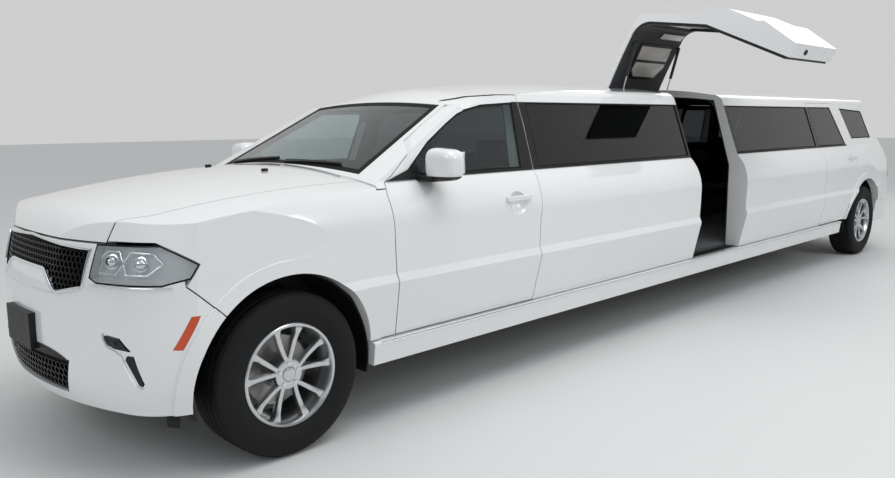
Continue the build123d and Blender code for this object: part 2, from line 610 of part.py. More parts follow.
def pull_handle(x, z):
    """Bar on two feet, in front of the left skin."""
    with BuildPart() as bar:
        with Locations((x, HANDLE_Y, z)):
            Box(HANDLE_L, HANDLE_T, HANDLE_H)
        fillet(bar.edges(), 6)
        for end in (-1, 1):
            with Locations((x + end * (HANDLE_L / 2 - 20), HANDLE_Y - 20, z)):
                Box(24, 36, 20)
    return bar.part


# Side doors, each with its pane; the left one is drawn and the right one mirrored
DOORS = (
    # name, outer outline, inner outline, window, handle x and z
    ("front_door", FRONT_DOOR_OUTER, FRONT_DOOR_INNER, FRONT_WINDOW, B_SEAM_X + 272, 850),
    ("rear_door", REAR_DOOR_OUTER, REAR_DOOR_INNER, REAR_WINDOW, REAR_X + 490, 878),
)
for name, outer, inner, window, handle_x, handle_z in DOORS:
    with BuildPart() as door:
        add(cabin_shell.part)
        add(plug(outer, inner), mode=Mode.INTERSECT)
        add(screen_block(SCREEN_FRAME + GAP), mode=Mode.SUBTRACT)
        add(windows_cut([window]), mode=Mode.SUBTRACT)
        with Locations((handle_x, CUP_SKIN_Y + CUP_R - CUP_DEPTH, handle_z - 12)):
            Sphere(CUP_R, mode=Mode.SUBTRACT)
        add(pull_handle(handle_x, handle_z))
    with BuildPart() as door_glass:
        add(pane(window))
    for side, flip in (("left", False), ("right", True)):
        with BuildPart() as door_side:
            add(mirrored(door.part) if flip else door.part)
        door_side.part.label = f"{name}_{side}"
        export_step(door_side.part, f"parts/{name}_{side}.step")
        with BuildPart() as glass_side:
            add(mirrored(door_glass.part) if flip else door_glass.part)
        glass_side.part.label = f"{name}_{side}_glass"
        export_step(glass_side.part, f"parts/{name}_{side}_glass.step")

with BuildPart() as fixed_glass:
    for row in stretch_panes + [QUARTER_WINDOW]:
        add(pane(row))
        add(mirrored(pane(row)))
    add(mirrored(pane(JET_WINDOW)))
fixed_glass.part.label = "fixed_glass"
export_step(fixed_glass.part, "parts/fixed_glass.step")

# Jet door: half the roof and the side below it, drawn shut and swung open about the roof hinge
with BuildPart() as jet_door_shut:
    add(cabin_body.part)
    add(plan_prism(JET_REGION, SILL_Z + 4, 2000), mode=Mode.INTERSECT)
    extrude(cabin_face(JET_FRONT_X + 50, LINING_T), amount=1000, dir=(-1, 0, 0), mode=Mode.SUBTRACT)
    add(windows_cut([JET_WINDOW]), mode=Mode.SUBTRACT)
    for x in HINGE_X:
        with Locations((x + 20.15, JET_HINGE_Y, JET_HINGE_Z)):
            Cylinder(HINGE_NOTCH_R, 46, rotation=(0, 90, 0), mode=Mode.SUBTRACT)
        with Locations((x - 20.15, JET_HINGE_Y, JET_HINGE_Z)):
            Cylinder(HINGE_R, 40, rotation=(0, 90, 0))
with BuildPart() as jet_lining_shut:
    extrude(cabin_face(JET_FRONT_X - 15, LINING_T - 0.3), amount=JET_FRONT_X - JET_REAR_X - 30,
            dir=(-1, 0, 0))
    extrude(cabin_face(JET_FRONT_X + 50), amount=1000, dir=(-1, 0, 0), mode=Mode.SUBTRACT)
    add(plan_prism(JET_REGION, SILL_Z + 30, 2000), mode=Mode.INTERSECT)
    add(windows_cut([JET_WINDOW]), mode=Mode.SUBTRACT)
jet_door = jet_door_shut.part.rotate(jet_hinge, JET_OPEN_DEG)
jet_lining = jet_lining_shut.part.rotate(jet_hinge, JET_OPEN_DEG)
jet_glass = pane(JET_WINDOW).rotate(jet_hinge, JET_OPEN_DEG)
for name, shape in (("jet_door", jet_door), ("jet_door_lining", jet_lining), ("jet_door_glass", jet_glass)):
    shape.label = name
    export_step(shape, f"parts/{name}.step")

# Front body panels
HOOD_PLAN = ((HOOD_REAR_X + 3, -HOOD_HALF_W), (HOOD_REAR_X + 3, HOOD_HALF_W),
             (FRONT_X + 500, HOOD_HALF_W - 60), (FRONT_X + 900, HOOD_HALF_W - 260),
             (FRONT_X + 900, 260 - HOOD_HALF_W), (FRONT_X + 500, 60 - HOOD_HALF_W))
HOOD_CUT = ((HOOD_REAR_X - 300, -HOOD_HALF_W - GAP), (HOOD_REAR_X - 300, HOOD_HALF_W + GAP),
            (HOOD_REAR_X + 3, HOOD_HALF_W + GAP),
            (FRONT_X + 500, HOOD_HALF_W - 60 + GAP), (FRONT_X + 900, HOOD_HALF_W - 260 + GAP),
            (FRONT_X + 900, 260 - HOOD_HALF_W - GAP), (FRONT_X + 500, 60 - HOOD_HALF_W - GAP),
            (HOOD_REAR_X + 3, -HOOD_HALF_W - GAP))
HOOD_LIP_Z = 808
with BuildPart() as hood:
    add(front_body.part)
    add(front_body.part.moved(Location((-30, 0, -HOOD_THICKNESS))), mode=Mode.SUBTRACT)
    add(plan_prism(HOOD_PLAN, HOOD_LIP_Z, 1400), mode=Mode.INTERSECT)
hood.part.label = "hood"
export_step(hood.part, "parts/hood.step")

FENDER_T = 60
FENDER_REGION = (
    (A_SEAM_X - 60, SILL_Z),
    (A_SEAM_X - 60, PILLAR_FOOT_Z - 3),
    (HOOD_REAR_X + 3, PILLAR_FOOT_Z - 3),
    (HOOD_REAR_X + 3, 1300),
    (FRONT_X + 700, 1300),
    (FRONT_X + 700, 812),
    *LAMP_TIP,
    *BUMPER_SEAM[1:],
    (BUMPER_SEAM[-1][0], SILL_Z),
)
with BuildPart() as front_lip:
    add(front_body.part.moved(Location((0, FLARE_PROUD, 0))))
    add(front_body.part.moved(Location((-30, -FENDER_T, -40))), mode=Mode.SUBTRACT)
    add(arch_band(FRONT_X), mode=Mode.INTERSECT)
with BuildPart() as fender_left:
    add(front_body.part)
    add(front_body.part.moved(Location((-30, -FENDER_T, -40))), mode=Mode.SUBTRACT)
    add(front_lip.part)
    with BuildSketch(Plane.XZ.offset(-560)):
        Polygon(*FENDER_REGION, align=None)
        offset(amount=-3, kind=Kind.INTERSECTION)
    extrude(amount=-540, mode=Mode.INTERSECT)
    add(plan_prism(HOOD_CUT, 700, 1400), mode=Mode.SUBTRACT)
    with BuildSketch(Plane.XZ.offset(-1100)):
        with Locations((FRONT_X, AXLE_Z)):
            Circle(ARCH_R)
    extrude(amount=800, mode=Mode.SUBTRACT)
    add(front_door_cut, mode=Mode.SUBTRACT)
with BuildPart() as front_fenders:
    add(fender_left.part)
    add(mirrored(fender_left.part))
front_fenders.part.label = "front_fenders"
export_step(front_fenders.part, "parts/front_fenders.step")

LAMP_DEPTH = 90
with BuildPart() as headlamp_left:
    add(front_body.part)
    add(front_body.part.moved(Location((-LAMP_DEPTH, -50, 0))), mode=Mode.SUBTRACT)
    with BuildSketch(Plane.YZ.offset(FRONT_X + 400)):
        Polygon(*HEADLAMP, align=None)
        offset(amount=-0.3, kind=Kind.INTERSECTION)
    extrude(amount=600, mode=Mode.INTERSECT)
    add(side_prism((*LAMP_TIP, (NOSE_X, 600), (NOSE_X, 812)), 300, 1100), mode=Mode.INTERSECT)
with BuildPart() as headlamps:
    add(headlamp_left.part)
    add(mirrored(headlamp_left.part))
headlamps.part.label = "headlamps"
export_step(headlamps.part, "parts/headlamps.step")

BUMPER_REGION = ((BUMPER_SEAM[0][0], 802), *BUMPER_SEAM, (BUMPER_SEAM[-1][0], 0), (NOSE_X + 100, 0),
                 (NOSE_X + 100, 802))
with BuildPart() as front_bumper:
    add(front_body.part)
    add(front_lip.part)
    add(mirrored(front_lip.part))
    add(nose_inner.part, mode=Mode.SUBTRACT)
    with BuildSketch(Plane.XZ.offset(-1100)):
        Polygon(*BUMPER_REGION, align=None)
        offset(amount=-3, kind=Kind.INTERSECTION)
    extrude(amount=2200, mode=Mode.INTERSECT)
    add(front_prism(GRILLE, FRONT_X + 300, NOSE_X + 100), mode=Mode.SUBTRACT)
    add(front_prism(LOWER_OPENING, FRONT_X + 300, NOSE_X + 100), mode=Mode.SUBTRACT)
    for flip in (False, True):
        for outline in (HEADLAMP, FOG):
            cut = front_prism(outline, FRONT_X + 300, NOSE_X + 100)
            add(mirrored(cut) if flip else cut, mode=Mode.SUBTRACT)
        cut = side_prism(MARKER, 600, 1100)
        add(mirrored(cut) if flip else cut, mode=Mode.SUBTRACT)
    with BuildSketch(Plane.XZ.offset(-1100)):
        with Locations((FRONT_X, AXLE_Z)):
            Circle(ARCH_R)
    extrude(amount=2200, mode=Mode.SUBTRACT)
front_bumper.part.label = "front_bumper"
export_step(front_bumper.part, "parts/front_bumper.step")

GRILLE_INSET = 22
with BuildPart() as grille_region:
    for outline in (GRILLE, LOWER_OPENING):
        with BuildSketch(Plane.YZ.offset(FRONT_X + 500)):
            Polygon(*outline, align=None)
            offset(amount=-0.3, kind=Kind.INTERSECTION)
        extrude(amount=500)
with BuildPart() as grilles:
    add(front_body.part.moved(Location((-GRILLE_INSET, 0, 0))))
    add(front_body.part.moved(Location((-GRILLE_INSET - 14, 0, 0))), mode=Mode.SUBTRACT)
    add(grille_region.part, mode=Mode.INTERSECT)
grilles.part.label = "grilles"
export_step(grilles.part, "parts/grilles.step")

with BuildPart() as fog_left:
    add(front_body.part.moved(Location((-8, 0, 0))))
    add(front_body.part.moved(Location((-50, 0, 0))), mode=Mode.SUBTRACT)
    with BuildSketch(Plane.YZ.offset(FRONT_X + 440)):
        Polygon(*FOG, align=None)
        offset(amount=-0.3, kind=Kind.INTERSECTION)
    extrude(amount=600, mode=Mode.INTERSECT)
with BuildPart() as fog_lamps:
    add(fog_left.part)
    add(mirrored(fog_left.part))
fog_lamps.part.label = "fog_lamps"
export_step(fog_lamps.part, "parts/fog_lamps.step")

with BuildPart() as marker_left:
    add(front_body.part)
    add(front_body.part.moved(Location((0, -22, 0))), mode=Mode.SUBTRACT)
    with BuildSketch(Plane.XZ.offset(-1100)):
        Polygon(*MARKER, align=None)
        offset(amount=-0.3, kind=Kind.INTERSECTION)
    extrude(amount=500, mode=Mode.INTERSECT)
with BuildPart() as side_markers:
    add(marker_left.part)
    add(mirrored(marker_left.part))
side_markers.part.label = "side_markers"
export_step(side_markers.part, "parts/side_markers.step")

PLATE_W, PLATE_H = 310, 165
PLATE_HOLE_X, PLATE_HOLE_Z = 178, 121
PLATE_Z = 380
PLATE_FACE_X = NOSE_X + 22
with BuildPart() as plate_bracket:
    with Locations((PLATE_FACE_X - 40, 0, PLATE_Z)):
        Box(80, PLATE_W, PLATE_H)
    add(front_body.part.moved(Location((0.3, 0, 0))), mode=Mode.SUBTRACT)
    with BuildSketch(Plane.YZ.offset(PLATE_FACE_X - 18)):
        with Locations((0, PLATE_Z)):
            with GridLocations(PLATE_HOLE_X, PLATE_HOLE_Z, 2, 2):
                Circle(3.5)
    extrude(amount=30, mode=Mode.SUBTRACT)
plate_bracket.part.label = "plate_bracket"
export_step(plate_bracket.part, "parts/plate_bracket.step")

# Skirts between the wheel arches
SKIRT = ((880, SKIRT_BOTTOM_Z), (925, SKIRT_BOTTOM_Z), (940, 195), (925, 205), (880, 205))
with BuildPart() as skirt_left:
    with BuildSketch(Plane.YZ.offset(REAR_X + 700)):
        Polygon(*SKIRT, align=None)
    extrude(amount=WHEELBASE - 1180)
    with BuildSketch(Plane.YZ.offset(REAR_X + 700)):
        Polygon((WALL_INNER_Y, 170), (881, 170), (881, 195), (WALL_INNER_Y, 195), align=None)
    extrude(amount=WHEELBASE - 1500)
with BuildPart() as side_skirts:
    add(skirt_left.part)
    add(mirrored(skirt_left.part))
side_skirts.part.label = "side_skirts"
export_step(side_skirts.part, "parts/side_skirts.step")

LINER_R = ARCH_R - 0.3
with BuildPart() as liner:
    with BuildSketch(Plane.XZ.offset(-560)):
        Circle(LINER_R)
        Circle(LINER_R - 8, mode=Mode.SUBTRACT)
        with Locations((0, -LINER_R)):
            Rectangle(2 * LINER_R, 2 * LINER_R - 200, mode=Mode.SUBTRACT)
    extrude(amount=-330)
    with BuildSketch(Plane.XZ.offset(-555)):
        Circle(LINER_R)
        with Locations((0, -LINER_R)):
            Rectangle(2 * LINER_R, 2 * LINER_R - 200, mode=Mode.SUBTRACT)
        Circle(LINER_R - 80, mode=Mode.SUBTRACT)
    extrude(amount=-8)
with BuildPart() as wheel_liners:
    for axle_x in (FRONT_X, REAR_X):
        placed = liner.part.moved(Location((axle_x, 0, AXLE_Z)))
        add(placed)
        add(mirrored(placed))
wheel_liners.part.label = "wheel_liners"
export_step(wheel_liners.part, "parts/wheel_liners.step")

# Frame: two rails, crossmembers up to the floor, and the middle lift pad at the datum
FRAME_Y, RAIL_W = 380, 70
RAIL_LOW_Z, RAIL_HIGH_Z = 20, 146
FRAME_FRONT_X, FRAME_REAR_X = FRONT_X - 160, REAR_X + 420
FLOOR_LOW_Z = FLOOR_TOP_Z - FLOOR_THICKNESS
CROSS_X = [FRAME_REAR_X + 120 + k * (FRAME_FRONT_X - FRAME_REAR_X - 640) / 6 for k in range(7)]
PAD_SIZE, PAD_T = 240, 40
with BuildPart() as chassis_frame:
    for side in (-1, 1):
        with Locations(((FRAME_FRONT_X + FRAME_REAR_X) / 2, side * FRAME_Y, (RAIL_LOW_Z + RAIL_HIGH_Z) / 2)):
            Box(FRAME_FRONT_X - FRAME_REAR_X, RAIL_W, RAIL_HIGH_Z - RAIL_LOW_Z)
    for x in CROSS_X:
        reach = 1400 if x < CROSS_X[-1] else 860
        with Locations((x, 0, (141 + FLOOR_LOW_Z - 0.3) / 2)):
            Box(80, reach, FLOOR_LOW_Z - 0.3 - 141)
    with Locations((0, 0, PAD_T / 2)):
        Box(PAD_SIZE, 2 * FRAME_Y, PAD_T)
    for x in (CROSS_X[1], CROSS_X[-2]):
        for side in (-1, 1):
            with Locations((x, side * 640, 100)):
                Box(90, 90, 90)
    chamfer(chassis_frame.edges().filter_by(Axis.X).filter_by(lambda e: e.length > 3000), 8)
chassis_frame.part.label = "chassis_frame"
export_step(chassis_frame.part, "parts/chassis_frame.step")

# Rubber stops for the tailgate, on the floor's rear end
with BuildPart() as gate_stops:
    for side in (-1, 1):
        with BuildSketch(Plane.YZ.offset(REAR_X - 800)):
            with Locations((side * 500, 495)):
                Circle(14)
        extrude(amount=-300)
    add(tail_inner.part.moved(Location((0.3, 0, 0))), mode=Mode.INTERSECT)

# Floor with its firewall, stepped up over the rear axle
with BuildPart() as floor_pan:
    with BuildSketch(Plane.XZ.offset(WALL_INNER_Y - 0.3)):
        Polygon((A_SEAM_X - 10, FLOOR_LOW_Z), (A_SEAM_X - 10, 898), (A_SEAM_X - 49, 898),
                (A_SEAM_X - 49, FLOOR_TOP_Z), (REAR_X + 560, FLOOR_TOP_Z), (REAR_X + 500, 520),
                (TAIL_X, 520), (TAIL_X, 470), (REAR_X + 460, 470), (REAR_X + 520, FLOOR_LOW_Z),
                align=None)
    extrude(amount=-2 * (WALL_INNER_Y - 0.3))
    for side in (-1, 1):
        with BuildSketch(Plane.XZ.offset(-side * 1100)):
            with Locations((REAR_X, AXLE_Z)):
                Circle(ARCH_R + 2)
        extrude(amount=side * 545, mode=Mode.SUBTRACT)
    with BuildSketch(Plane.YZ.offset(A_SEAM_X - 60)):
        Rectangle(460, 600)
    extrude(amount=60, mode=Mode.SUBTRACT)
    add(tail_inner.part.moved(Location((GAP, 0, 0))), mode=Mode.INTERSECT)
    add(gate_stops.part)
floor_pan.part.label = "floor_pan"
export_step(floor_pan.part, "parts/floor_pan.step")

# Inner wing, nose shelf and hood stops, each ending against the skin that it carries
with BuildPart() as inner_wing:
    with Locations(((A_SEAM_X + FRONT_X + 380) / 2, 700, 706)):
        Box(FRONT_X + 380 - A_SEAM_X - 40, 420, 12)
    add(front_body.part.moved(Location((-30.3, -FENDER_T - 0.3, -40.3))), mode=Mode.INTERSECT)
with BuildPart() as nose_shelf:
    with Locations((FRONT_X + 640, 0, 506)):
        Box(340, 1300, 12)
    add(nose_inner.part.moved(Location((-0.3, 0, 0))), mode=Mode.INTERSECT)
with BuildPart() as hood_stops:
    for x in (FRONT_X - 300, FRONT_X + 300):
        for side in (-1, 1):
            with Locations((x, side * 520, 940)):
                Cylinder(14, 400)
    add(front_body.part.moved(Location((-30, 0, -HOOD_THICKNESS - 0.3))), mode=Mode.INTERSECT)

# Front structure: inner rails beside the engine and the radiator panel
with BuildPart() as front_structure:
    for side in (-1, 1):
        with Locations(((A_SEAM_X - 9.7 + FRONT_X + 520) / 2, side * 520, 700)):
            Box(FRONT_X + 520 - A_SEAM_X + 9.7, 60, 90)
        with Locations((FRONT_X + 470, side * 380, 427.65)):
            Box(60, 60, 604.7)
    with Locations((FRONT_X + 500, 0, 690)):
        Box(40, 1100, 100)
    with Locations((FRONT_X + 470, 0, 430)):
        Box(45, 700, 520)
    add(inner_wing.part)
    add(mirrored(inner_wing.part))
    add(nose_shelf.part)
    add(hood_stops.part)
front_structure.part.label = "front_structure"
export_step(front_structure.part, "parts/front_structure.step")

ENGINE_L, ENGINE_W, ENGINE_H = 720, 620, 640
with BuildPart() as engine_block:
    with Locations((FRONT_X + 20, 0, 160 + ENGINE_H / 2)):
        Box(ENGINE_L, ENGINE_W, ENGINE_H)
    chamfer(engine_block.edges().filter_by(Axis.X).group_by(Axis.Z)[-1], 120)
    fillet(engine_block.edges().filter_by(Axis.Z), 30)
engine_block.part.label = "engine_block"
export_step(engine_block.part, "parts/engine_block.step")

# Drive line: gearbox behind the engine and the long shaft to the rear axle
SHAFT_Z = 100
with BuildPart() as drive_line:
    with BuildSketch(Plane.YZ.offset(FRONT_X - 340.3)):
        with Locations((0, 230)):
            Circle(150)
    with BuildSketch(Plane.YZ.offset(A_SEAM_X + 15)):
        with Locations((0, SHAFT_Z)):
            Circle(58)
    loft()
    with BuildSketch(Plane.YZ.offset(A_SEAM_X + 20)):
        with Locations((0, SHAFT_Z)):
            Circle(38)
    extrude(amount=REAR_X + 139.8 - A_SEAM_X - 20)
drive_line.part.label = "drive_line"
export_step(drive_line.part, "parts/drive_line.step")

KNUCKLE_Y = 690
HUB_Y = TRACK / 2 - 45
with BuildPart() as front_suspension:
    for side in (-1, 1):
        with Locations((FRONT_X + 170, side * FRAME_Y, 85)):
            Box(659.4, RAIL_W, 80)
        with BuildSketch(Plane.XY.offset(12)):
            Polygon((FRONT_X - 130, side * 330), (FRONT_X + 130, side * 330), (FRONT_X + 40, side * 700),
                    (FRONT_X - 40, side * 700), align=None)
        extrude(amount=27.7)
        with Locations((FRONT_X, side * FRAME_Y, 42)):
            Box(240, RAIL_W, 60)
    with Locations((FRONT_X, 0, 60)):
        Box(120, 2 * FRAME_Y, 60)
    with Locations((FRONT_X, 0, 125)):
        Box(200, 200, 69.4)
front_suspension.part.label = "front_suspension"
export_step(front_suspension.part, "parts/front_suspension.step")

with BuildPart() as rear_axle:
    with Locations((REAR_X, 0, AXLE_Z)):
        Cylinder(50, 2 * (HUB_Y - 60), rotation=(90, 0, 0))
        Sphere(140)
    for side in (-1, 1):
        with BuildSketch(Plane.XZ.offset(-side * (HUB_Y - 66))):
            with Locations((REAR_X, AXLE_Z)):
                Circle(75)
        extrude(amount=-side * 60)
        with BuildSketch(Plane.XZ.offset(-side * (HUB_Y - 10))):
            with Locations((REAR_X, AXLE_Z)):
                Circle(30)
        extrude(amount=-side * 9.7)
        with Locations((REAR_X + 209.85, side * FRAME_Y, AXLE_Z - 60)):
            Box(419.7, 60, 70)
        with Locations((REAR_X, side * 300, 330)):
            Cylinder(45, 279.4)
rear_axle.part.label = "rear_axle"
export_step(rear_axle.part, "parts/rear_axle.step")

with BuildPart() as exhaust:
    with BuildSketch(Plane.YZ.offset(FRONT_X - 420)):
        with Locations((-230, 95)):
            Circle(32)
    extrude(amount=REAR_X + 900 - FRONT_X + 420)
    with BuildSketch(Plane.YZ.offset(REAR_X + 1500)):
        with Locations((-180, 95)):
            Ellipse(135, 69.7)
    extrude(amount=-700)
exhaust.part.label = "exhaust"
export_step(exhaust.part, "parts/exhaust.step")

with BuildPart() as fuel_tank:
    with Locations((REAR_X + 1140, 195, 100)):
        Box(640, 260, 129.4)
    fillet(fuel_tank.edges().filter_by(Axis.Z), 60)
fuel_tank.part.label = "fuel_tank"
export_step(fuel_tank.part, "parts/fuel_tank.step")

# Wheels, drawn at the front left and copied
TREAD_W, TYRE_W = 222, 265
RIM_R, RIM_HALF_W = 229, 114
SPOKE_PAIRS = 5
SPOKE_SPLIT = 15.5
wheel_axis = Axis((FRONT_X, 0, AXLE_Z), (0, 1, 0))
WHEEL_Y = TRACK / 2


def wheel_point(along, radius):
    """Point of a wheel section: distance outboard of its middle, and radius."""
    return (WHEEL_Y + along, AXLE_Z + radius)


with BuildPart() as tyre_master:
    with BuildSketch(Plane.YZ.offset(FRONT_X)):
        with BuildLine():
            Polyline(wheel_point(-105, 243), wheel_point(-105, RIM_R + 0.3), wheel_point(105, RIM_R + 0.3),
                     wheel_point(105, 243))
            ThreePointArc(wheel_point(105, 243), wheel_point(TYRE_W / 2, 300), wheel_point(120, 360))
            ThreePointArc(wheel_point(120, 360), wheel_point(110, 374), wheel_point(92, 380))
            ThreePointArc(wheel_point(92, 380), wheel_point(0, TYRE_RADIUS), wheel_point(-92, 380))
            ThreePointArc(wheel_point(-92, 380), wheel_point(-110, 374), wheel_point(-120, 360))
            ThreePointArc(wheel_point(-120, 360), wheel_point(-TYRE_W / 2, 300), wheel_point(-105, 243))
        make_face()
    revolve(axis=wheel_axis)
with BuildPart() as rim_master:
    with BuildSketch(Plane.YZ.offset(FRONT_X)):
        Polygon(wheel_point(-RIM_HALF_W, 242), wheel_point(-106, 242), wheel_point(-106, RIM_R),
                wheel_point(106, RIM_R), wheel_point(106, 242), wheel_point(RIM_HALF_W, 242),
                wheel_point(RIM_HALF_W, 226), wheel_point(95, 214), wheel_point(-95, 214),
                wheel_point(-RIM_HALF_W, 226), align=None)
        Polygon(wheel_point(-45, 0), wheel_point(-45, 165), wheel_point(-17, 165), wheel_point(-17, 85),
                wheel_point(84, 78), wheel_point(84, 0), align=None)
    revolve(axis=wheel_axis)
    for turn in [k * 360 / SPOKE_PAIRS + half for k in range(SPOKE_PAIRS) for half in (-SPOKE_SPLIT, SPOKE_SPLIT)]:
        with BuildSketch(Plane.XZ.offset(-WHEEL_Y - 58)):
            with Locations(Location((FRONT_X, AXLE_Z), turn)):
                Polygon((-14, 74), (14, 74), (21, 221), (-21, 221), align=None)
        extrude(amount=-32)
    with BuildSketch(Plane.XZ.offset(-WHEEL_Y - 60)):
        with Locations((FRONT_X, AXLE_Z)):
            with PolarLocations(63.5, 5):
                Circle(9)
    extrude(amount=-40, mode=Mode.SUBTRACT)
WHEELS = (
    # name, shift along X, on the right
    ("front_left", 0, False),
    ("front_right", 0, True),
    ("rear_left", -WHEELBASE, False),
    ("rear_right", -WHEELBASE, True),
)
for name, shift, flip in WHEELS:
    for kind, master in (("tyre", tyre_master), ("rim", rim_master)):
        with BuildPart() as wheel_piece:
            placed = master.part.moved(Location((shift, 0, 0)))
            add(mirrored(placed) if flip else placed)
        wheel_piece.part.label = f"{kind}_{name}"
        export_step(wheel_piece.part, f"parts/{kind}_{name}.step")

with BuildPart() as knuckle_left:
    with BuildSketch(Plane.XZ.offset(-HUB_Y + 95)):
        with Locations((FRONT_X, AXLE_Z)):
            Circle(75)
    extrude(amount=-89)
    with BuildSketch(Plane.XZ.offset(-HUB_Y + 10)):
        with Locations((FRONT_X, AXLE_Z)):
            Circle(30)
    extrude(amount=-9.7)
    with BuildSketch(Plane.XY.offset(40)):
        with Locations((FRONT_X, KNUCKLE_Y)):
            Circle(22)
    extrude(amount=60)
    with Locations((FRONT_X - 110, HUB_Y - 30, AXLE_Z + 40)):
        Box(120, 48, 130)
for name, flip in (("left", False), ("right", True)):
    with BuildPart() as knuckle:
        add(mirrored(knuckle_left.part) if flip else knuckle_left.part)
    knuckle.part.label = f"knuckle_{name}"
    export_step(knuckle.part, f"parts/knuckle_{name}.step")

# Mirrors on the front doors
with BuildPart() as mirror_left:
    with Locations((A_SEAM_X - 330, 990, 1068)):
        Box(165, 200, 190)
    fillet(mirror_left.edges(), 40)
    with Locations((A_SEAM_X - 300, 870, 1030)):
        Box(70, 130, 40)
    add(cabin_body.part.moved(Location((0, 0.3, 0))), mode=Mode.SUBTRACT)
for name, flip in (("left", False), ("right", True)):
    with BuildPart() as mirror_side:
        add(mirrored(mirror_left.part) if flip else mirror_left.part)
    mirror_side.part.label = f"mirror_{name}"
    export_step(mirror_side.part, f"parts/mirror_{name}.step")

# Wipers lying on the glass
with BuildPart() as wiper_arms:
    for y in (-560, 20):
        with BuildSketch(screen_plane.offset(-200)):
            Polygon((y, 24), (y + 470, 60), (y + 470, 74), (y, 48), align=None)
        extrude(amount=400)
with BuildPart() as wipers:
    with BuildSketch(slope_plane(SCREEN_TOP_X, SCREEN_TOP_Z, SCREEN_ANGLE)):
        with BuildLine():
            drop = 720 ** 2 / (2 * SCREEN_R)
            ThreePointArc((-720, -drop - 1.7), (0, -1.7), (720, -drop - 1.7))
            Line((720, -drop - 1.7), (720, 12 - drop))
            ThreePointArc((720, 12 - drop), (0, 12), (-720, 12 - drop))
            Line((-720, 12 - drop), (-720, -drop - 1.7))
        make_face()
    extrude(amount=1000)
    add(wiper_arms.part, mode=Mode.INTERSECT)
wipers.part.label = "wipers"
export_step(wipers.part, "parts/wipers.step")

# Inside
with BuildPart() as dashboard:
    with BuildSketch(Plane.XZ.offset(735)):
        Polygon((A_SEAM_X - 49.3, 560), (A_SEAM_X - 49.3, 900), (A_SEAM_X - 260, 900), (A_SEAM_X - 330, 860),
                (A_SEAM_X - 300, 600), align=None)
    extrude(amount=-2 * 735)
dashboard.part.label = "dashboard"
export_step(dashboard.part, "parts/dashboard.step")

SEAT_X = A_SEAM_X - 1000
with BuildPart() as seat_left:
    with BuildSketch(Plane.XZ.offset(-630)):
        Polygon((SEAT_X + 250, FLOOR_TOP_Z + 0.3), (SEAT_X + 280, 560), (SEAT_X - 200, 530), (SEAT_X - 330, 1180),
                (SEAT_X - 430, 1170), (SEAT_X - 330, 480), (SEAT_X - 280, FLOOR_TOP_Z + 0.3), align=None)
    extrude(amount=500)
    fillet(seat_left.edges().filter_by(Axis.Y), 25)
with BuildPart() as front_seats:
    add(seat_left.part)
    add(mirrored(seat_left.part))
front_seats.part.label = "front_seats"
export_step(front_seats.part, "parts/front_seats.step")

BENCH_FRONT_X = B_SEAM_X - 250
BENCH_REAR_X = REAR_X + 620
with BuildPart() as lounge_bench:
    with BuildSketch(Plane.YZ.offset(BENCH_REAR_X)):
        Polygon((-745, FLOOR_TOP_Z + 0.3), (-260, FLOOR_TOP_Z + 0.3), (-230, 560), (-600, 540), (-650, 940),
                (-745, 960), align=None)
    extrude(amount=BENCH_FRONT_X - BENCH_REAR_X)
lounge_bench.part.label = "lounge_bench"
export_step(lounge_bench.part, "parts/lounge_bench.step")

# Gas struts of the jet door: eyes on the door and pins on the roof frame
STRUT_EYE_Y, STRUT_EYE_Z = 295, 1906
STRUT_L = hypot(STRUT_EYE_Y - STRUT_FOOT_Y, STRUT_EYE_Z - STRUT_FOOT_Z)
STRUT_X = [x for x, inward in STRUT_PINS]
open_normal = Vector(0, sin(radians(JET_OPEN_DEG)), -cos(radians(JET_OPEN_DEG)))
strut_dir = Vector(0, STRUT_FOOT_Y - STRUT_EYE_Y, STRUT_FOOT_Z - STRUT_EYE_Z).normalized()
with BuildPart() as strut_barrels:
    for x in STRUT_X:
        with BuildSketch(Plane(origin=(x, STRUT_EYE_Y, STRUT_EYE_Z), x_dir=(1, 0, 0), z_dir=strut_dir)):
            Circle(13)
            Circle(6.3, mode=Mode.SUBTRACT)
        extrude(amount=STRUT_L * 0.55)
        with Locations((x, STRUT_EYE_Y, STRUT_EYE_Z)):
            Sphere(14)
        with BuildSketch(Plane(origin=(x, STRUT_EYE_Y, STRUT_EYE_Z), x_dir=(1, 0, 0), z_dir=-open_normal)):
            Circle(9)
        extrude(amount=40)
    add(jet_lining.moved(Location(open_normal * 0.3)), mode=Mode.SUBTRACT)
    add(jet_door, mode=Mode.SUBTRACT)
strut_barrels.part.label = "strut_barrels"
export_step(strut_barrels.part, "parts/strut_barrels.step")
with BuildPart() as strut_rods:
    for x in STRUT_X:
        with BuildSketch(Plane(origin=(x, STRUT_EYE_Y, STRUT_EYE_Z) + strut_dir * (STRUT_L * 0.48),
                               x_dir=(1, 0, 0), z_dir=strut_dir)):
            Circle(6)
        extrude(amount=STRUT_L * 0.52)
        with Locations((x, STRUT_FOOT_Y, STRUT_FOOT_Z)):
            Sphere(10)
strut_rods.part.label = "strut_rods"
export_step(strut_rods.part, "parts/strut_rods.step")
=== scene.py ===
"""Finishes and fine pieces of a stretch limousine with an open jet door."""

import json
from math import cos, pi, radians, sin

import bmesh
import bpy
from mathutils import Matrix, Vector
from mathutils.bvhtree import BVHTree


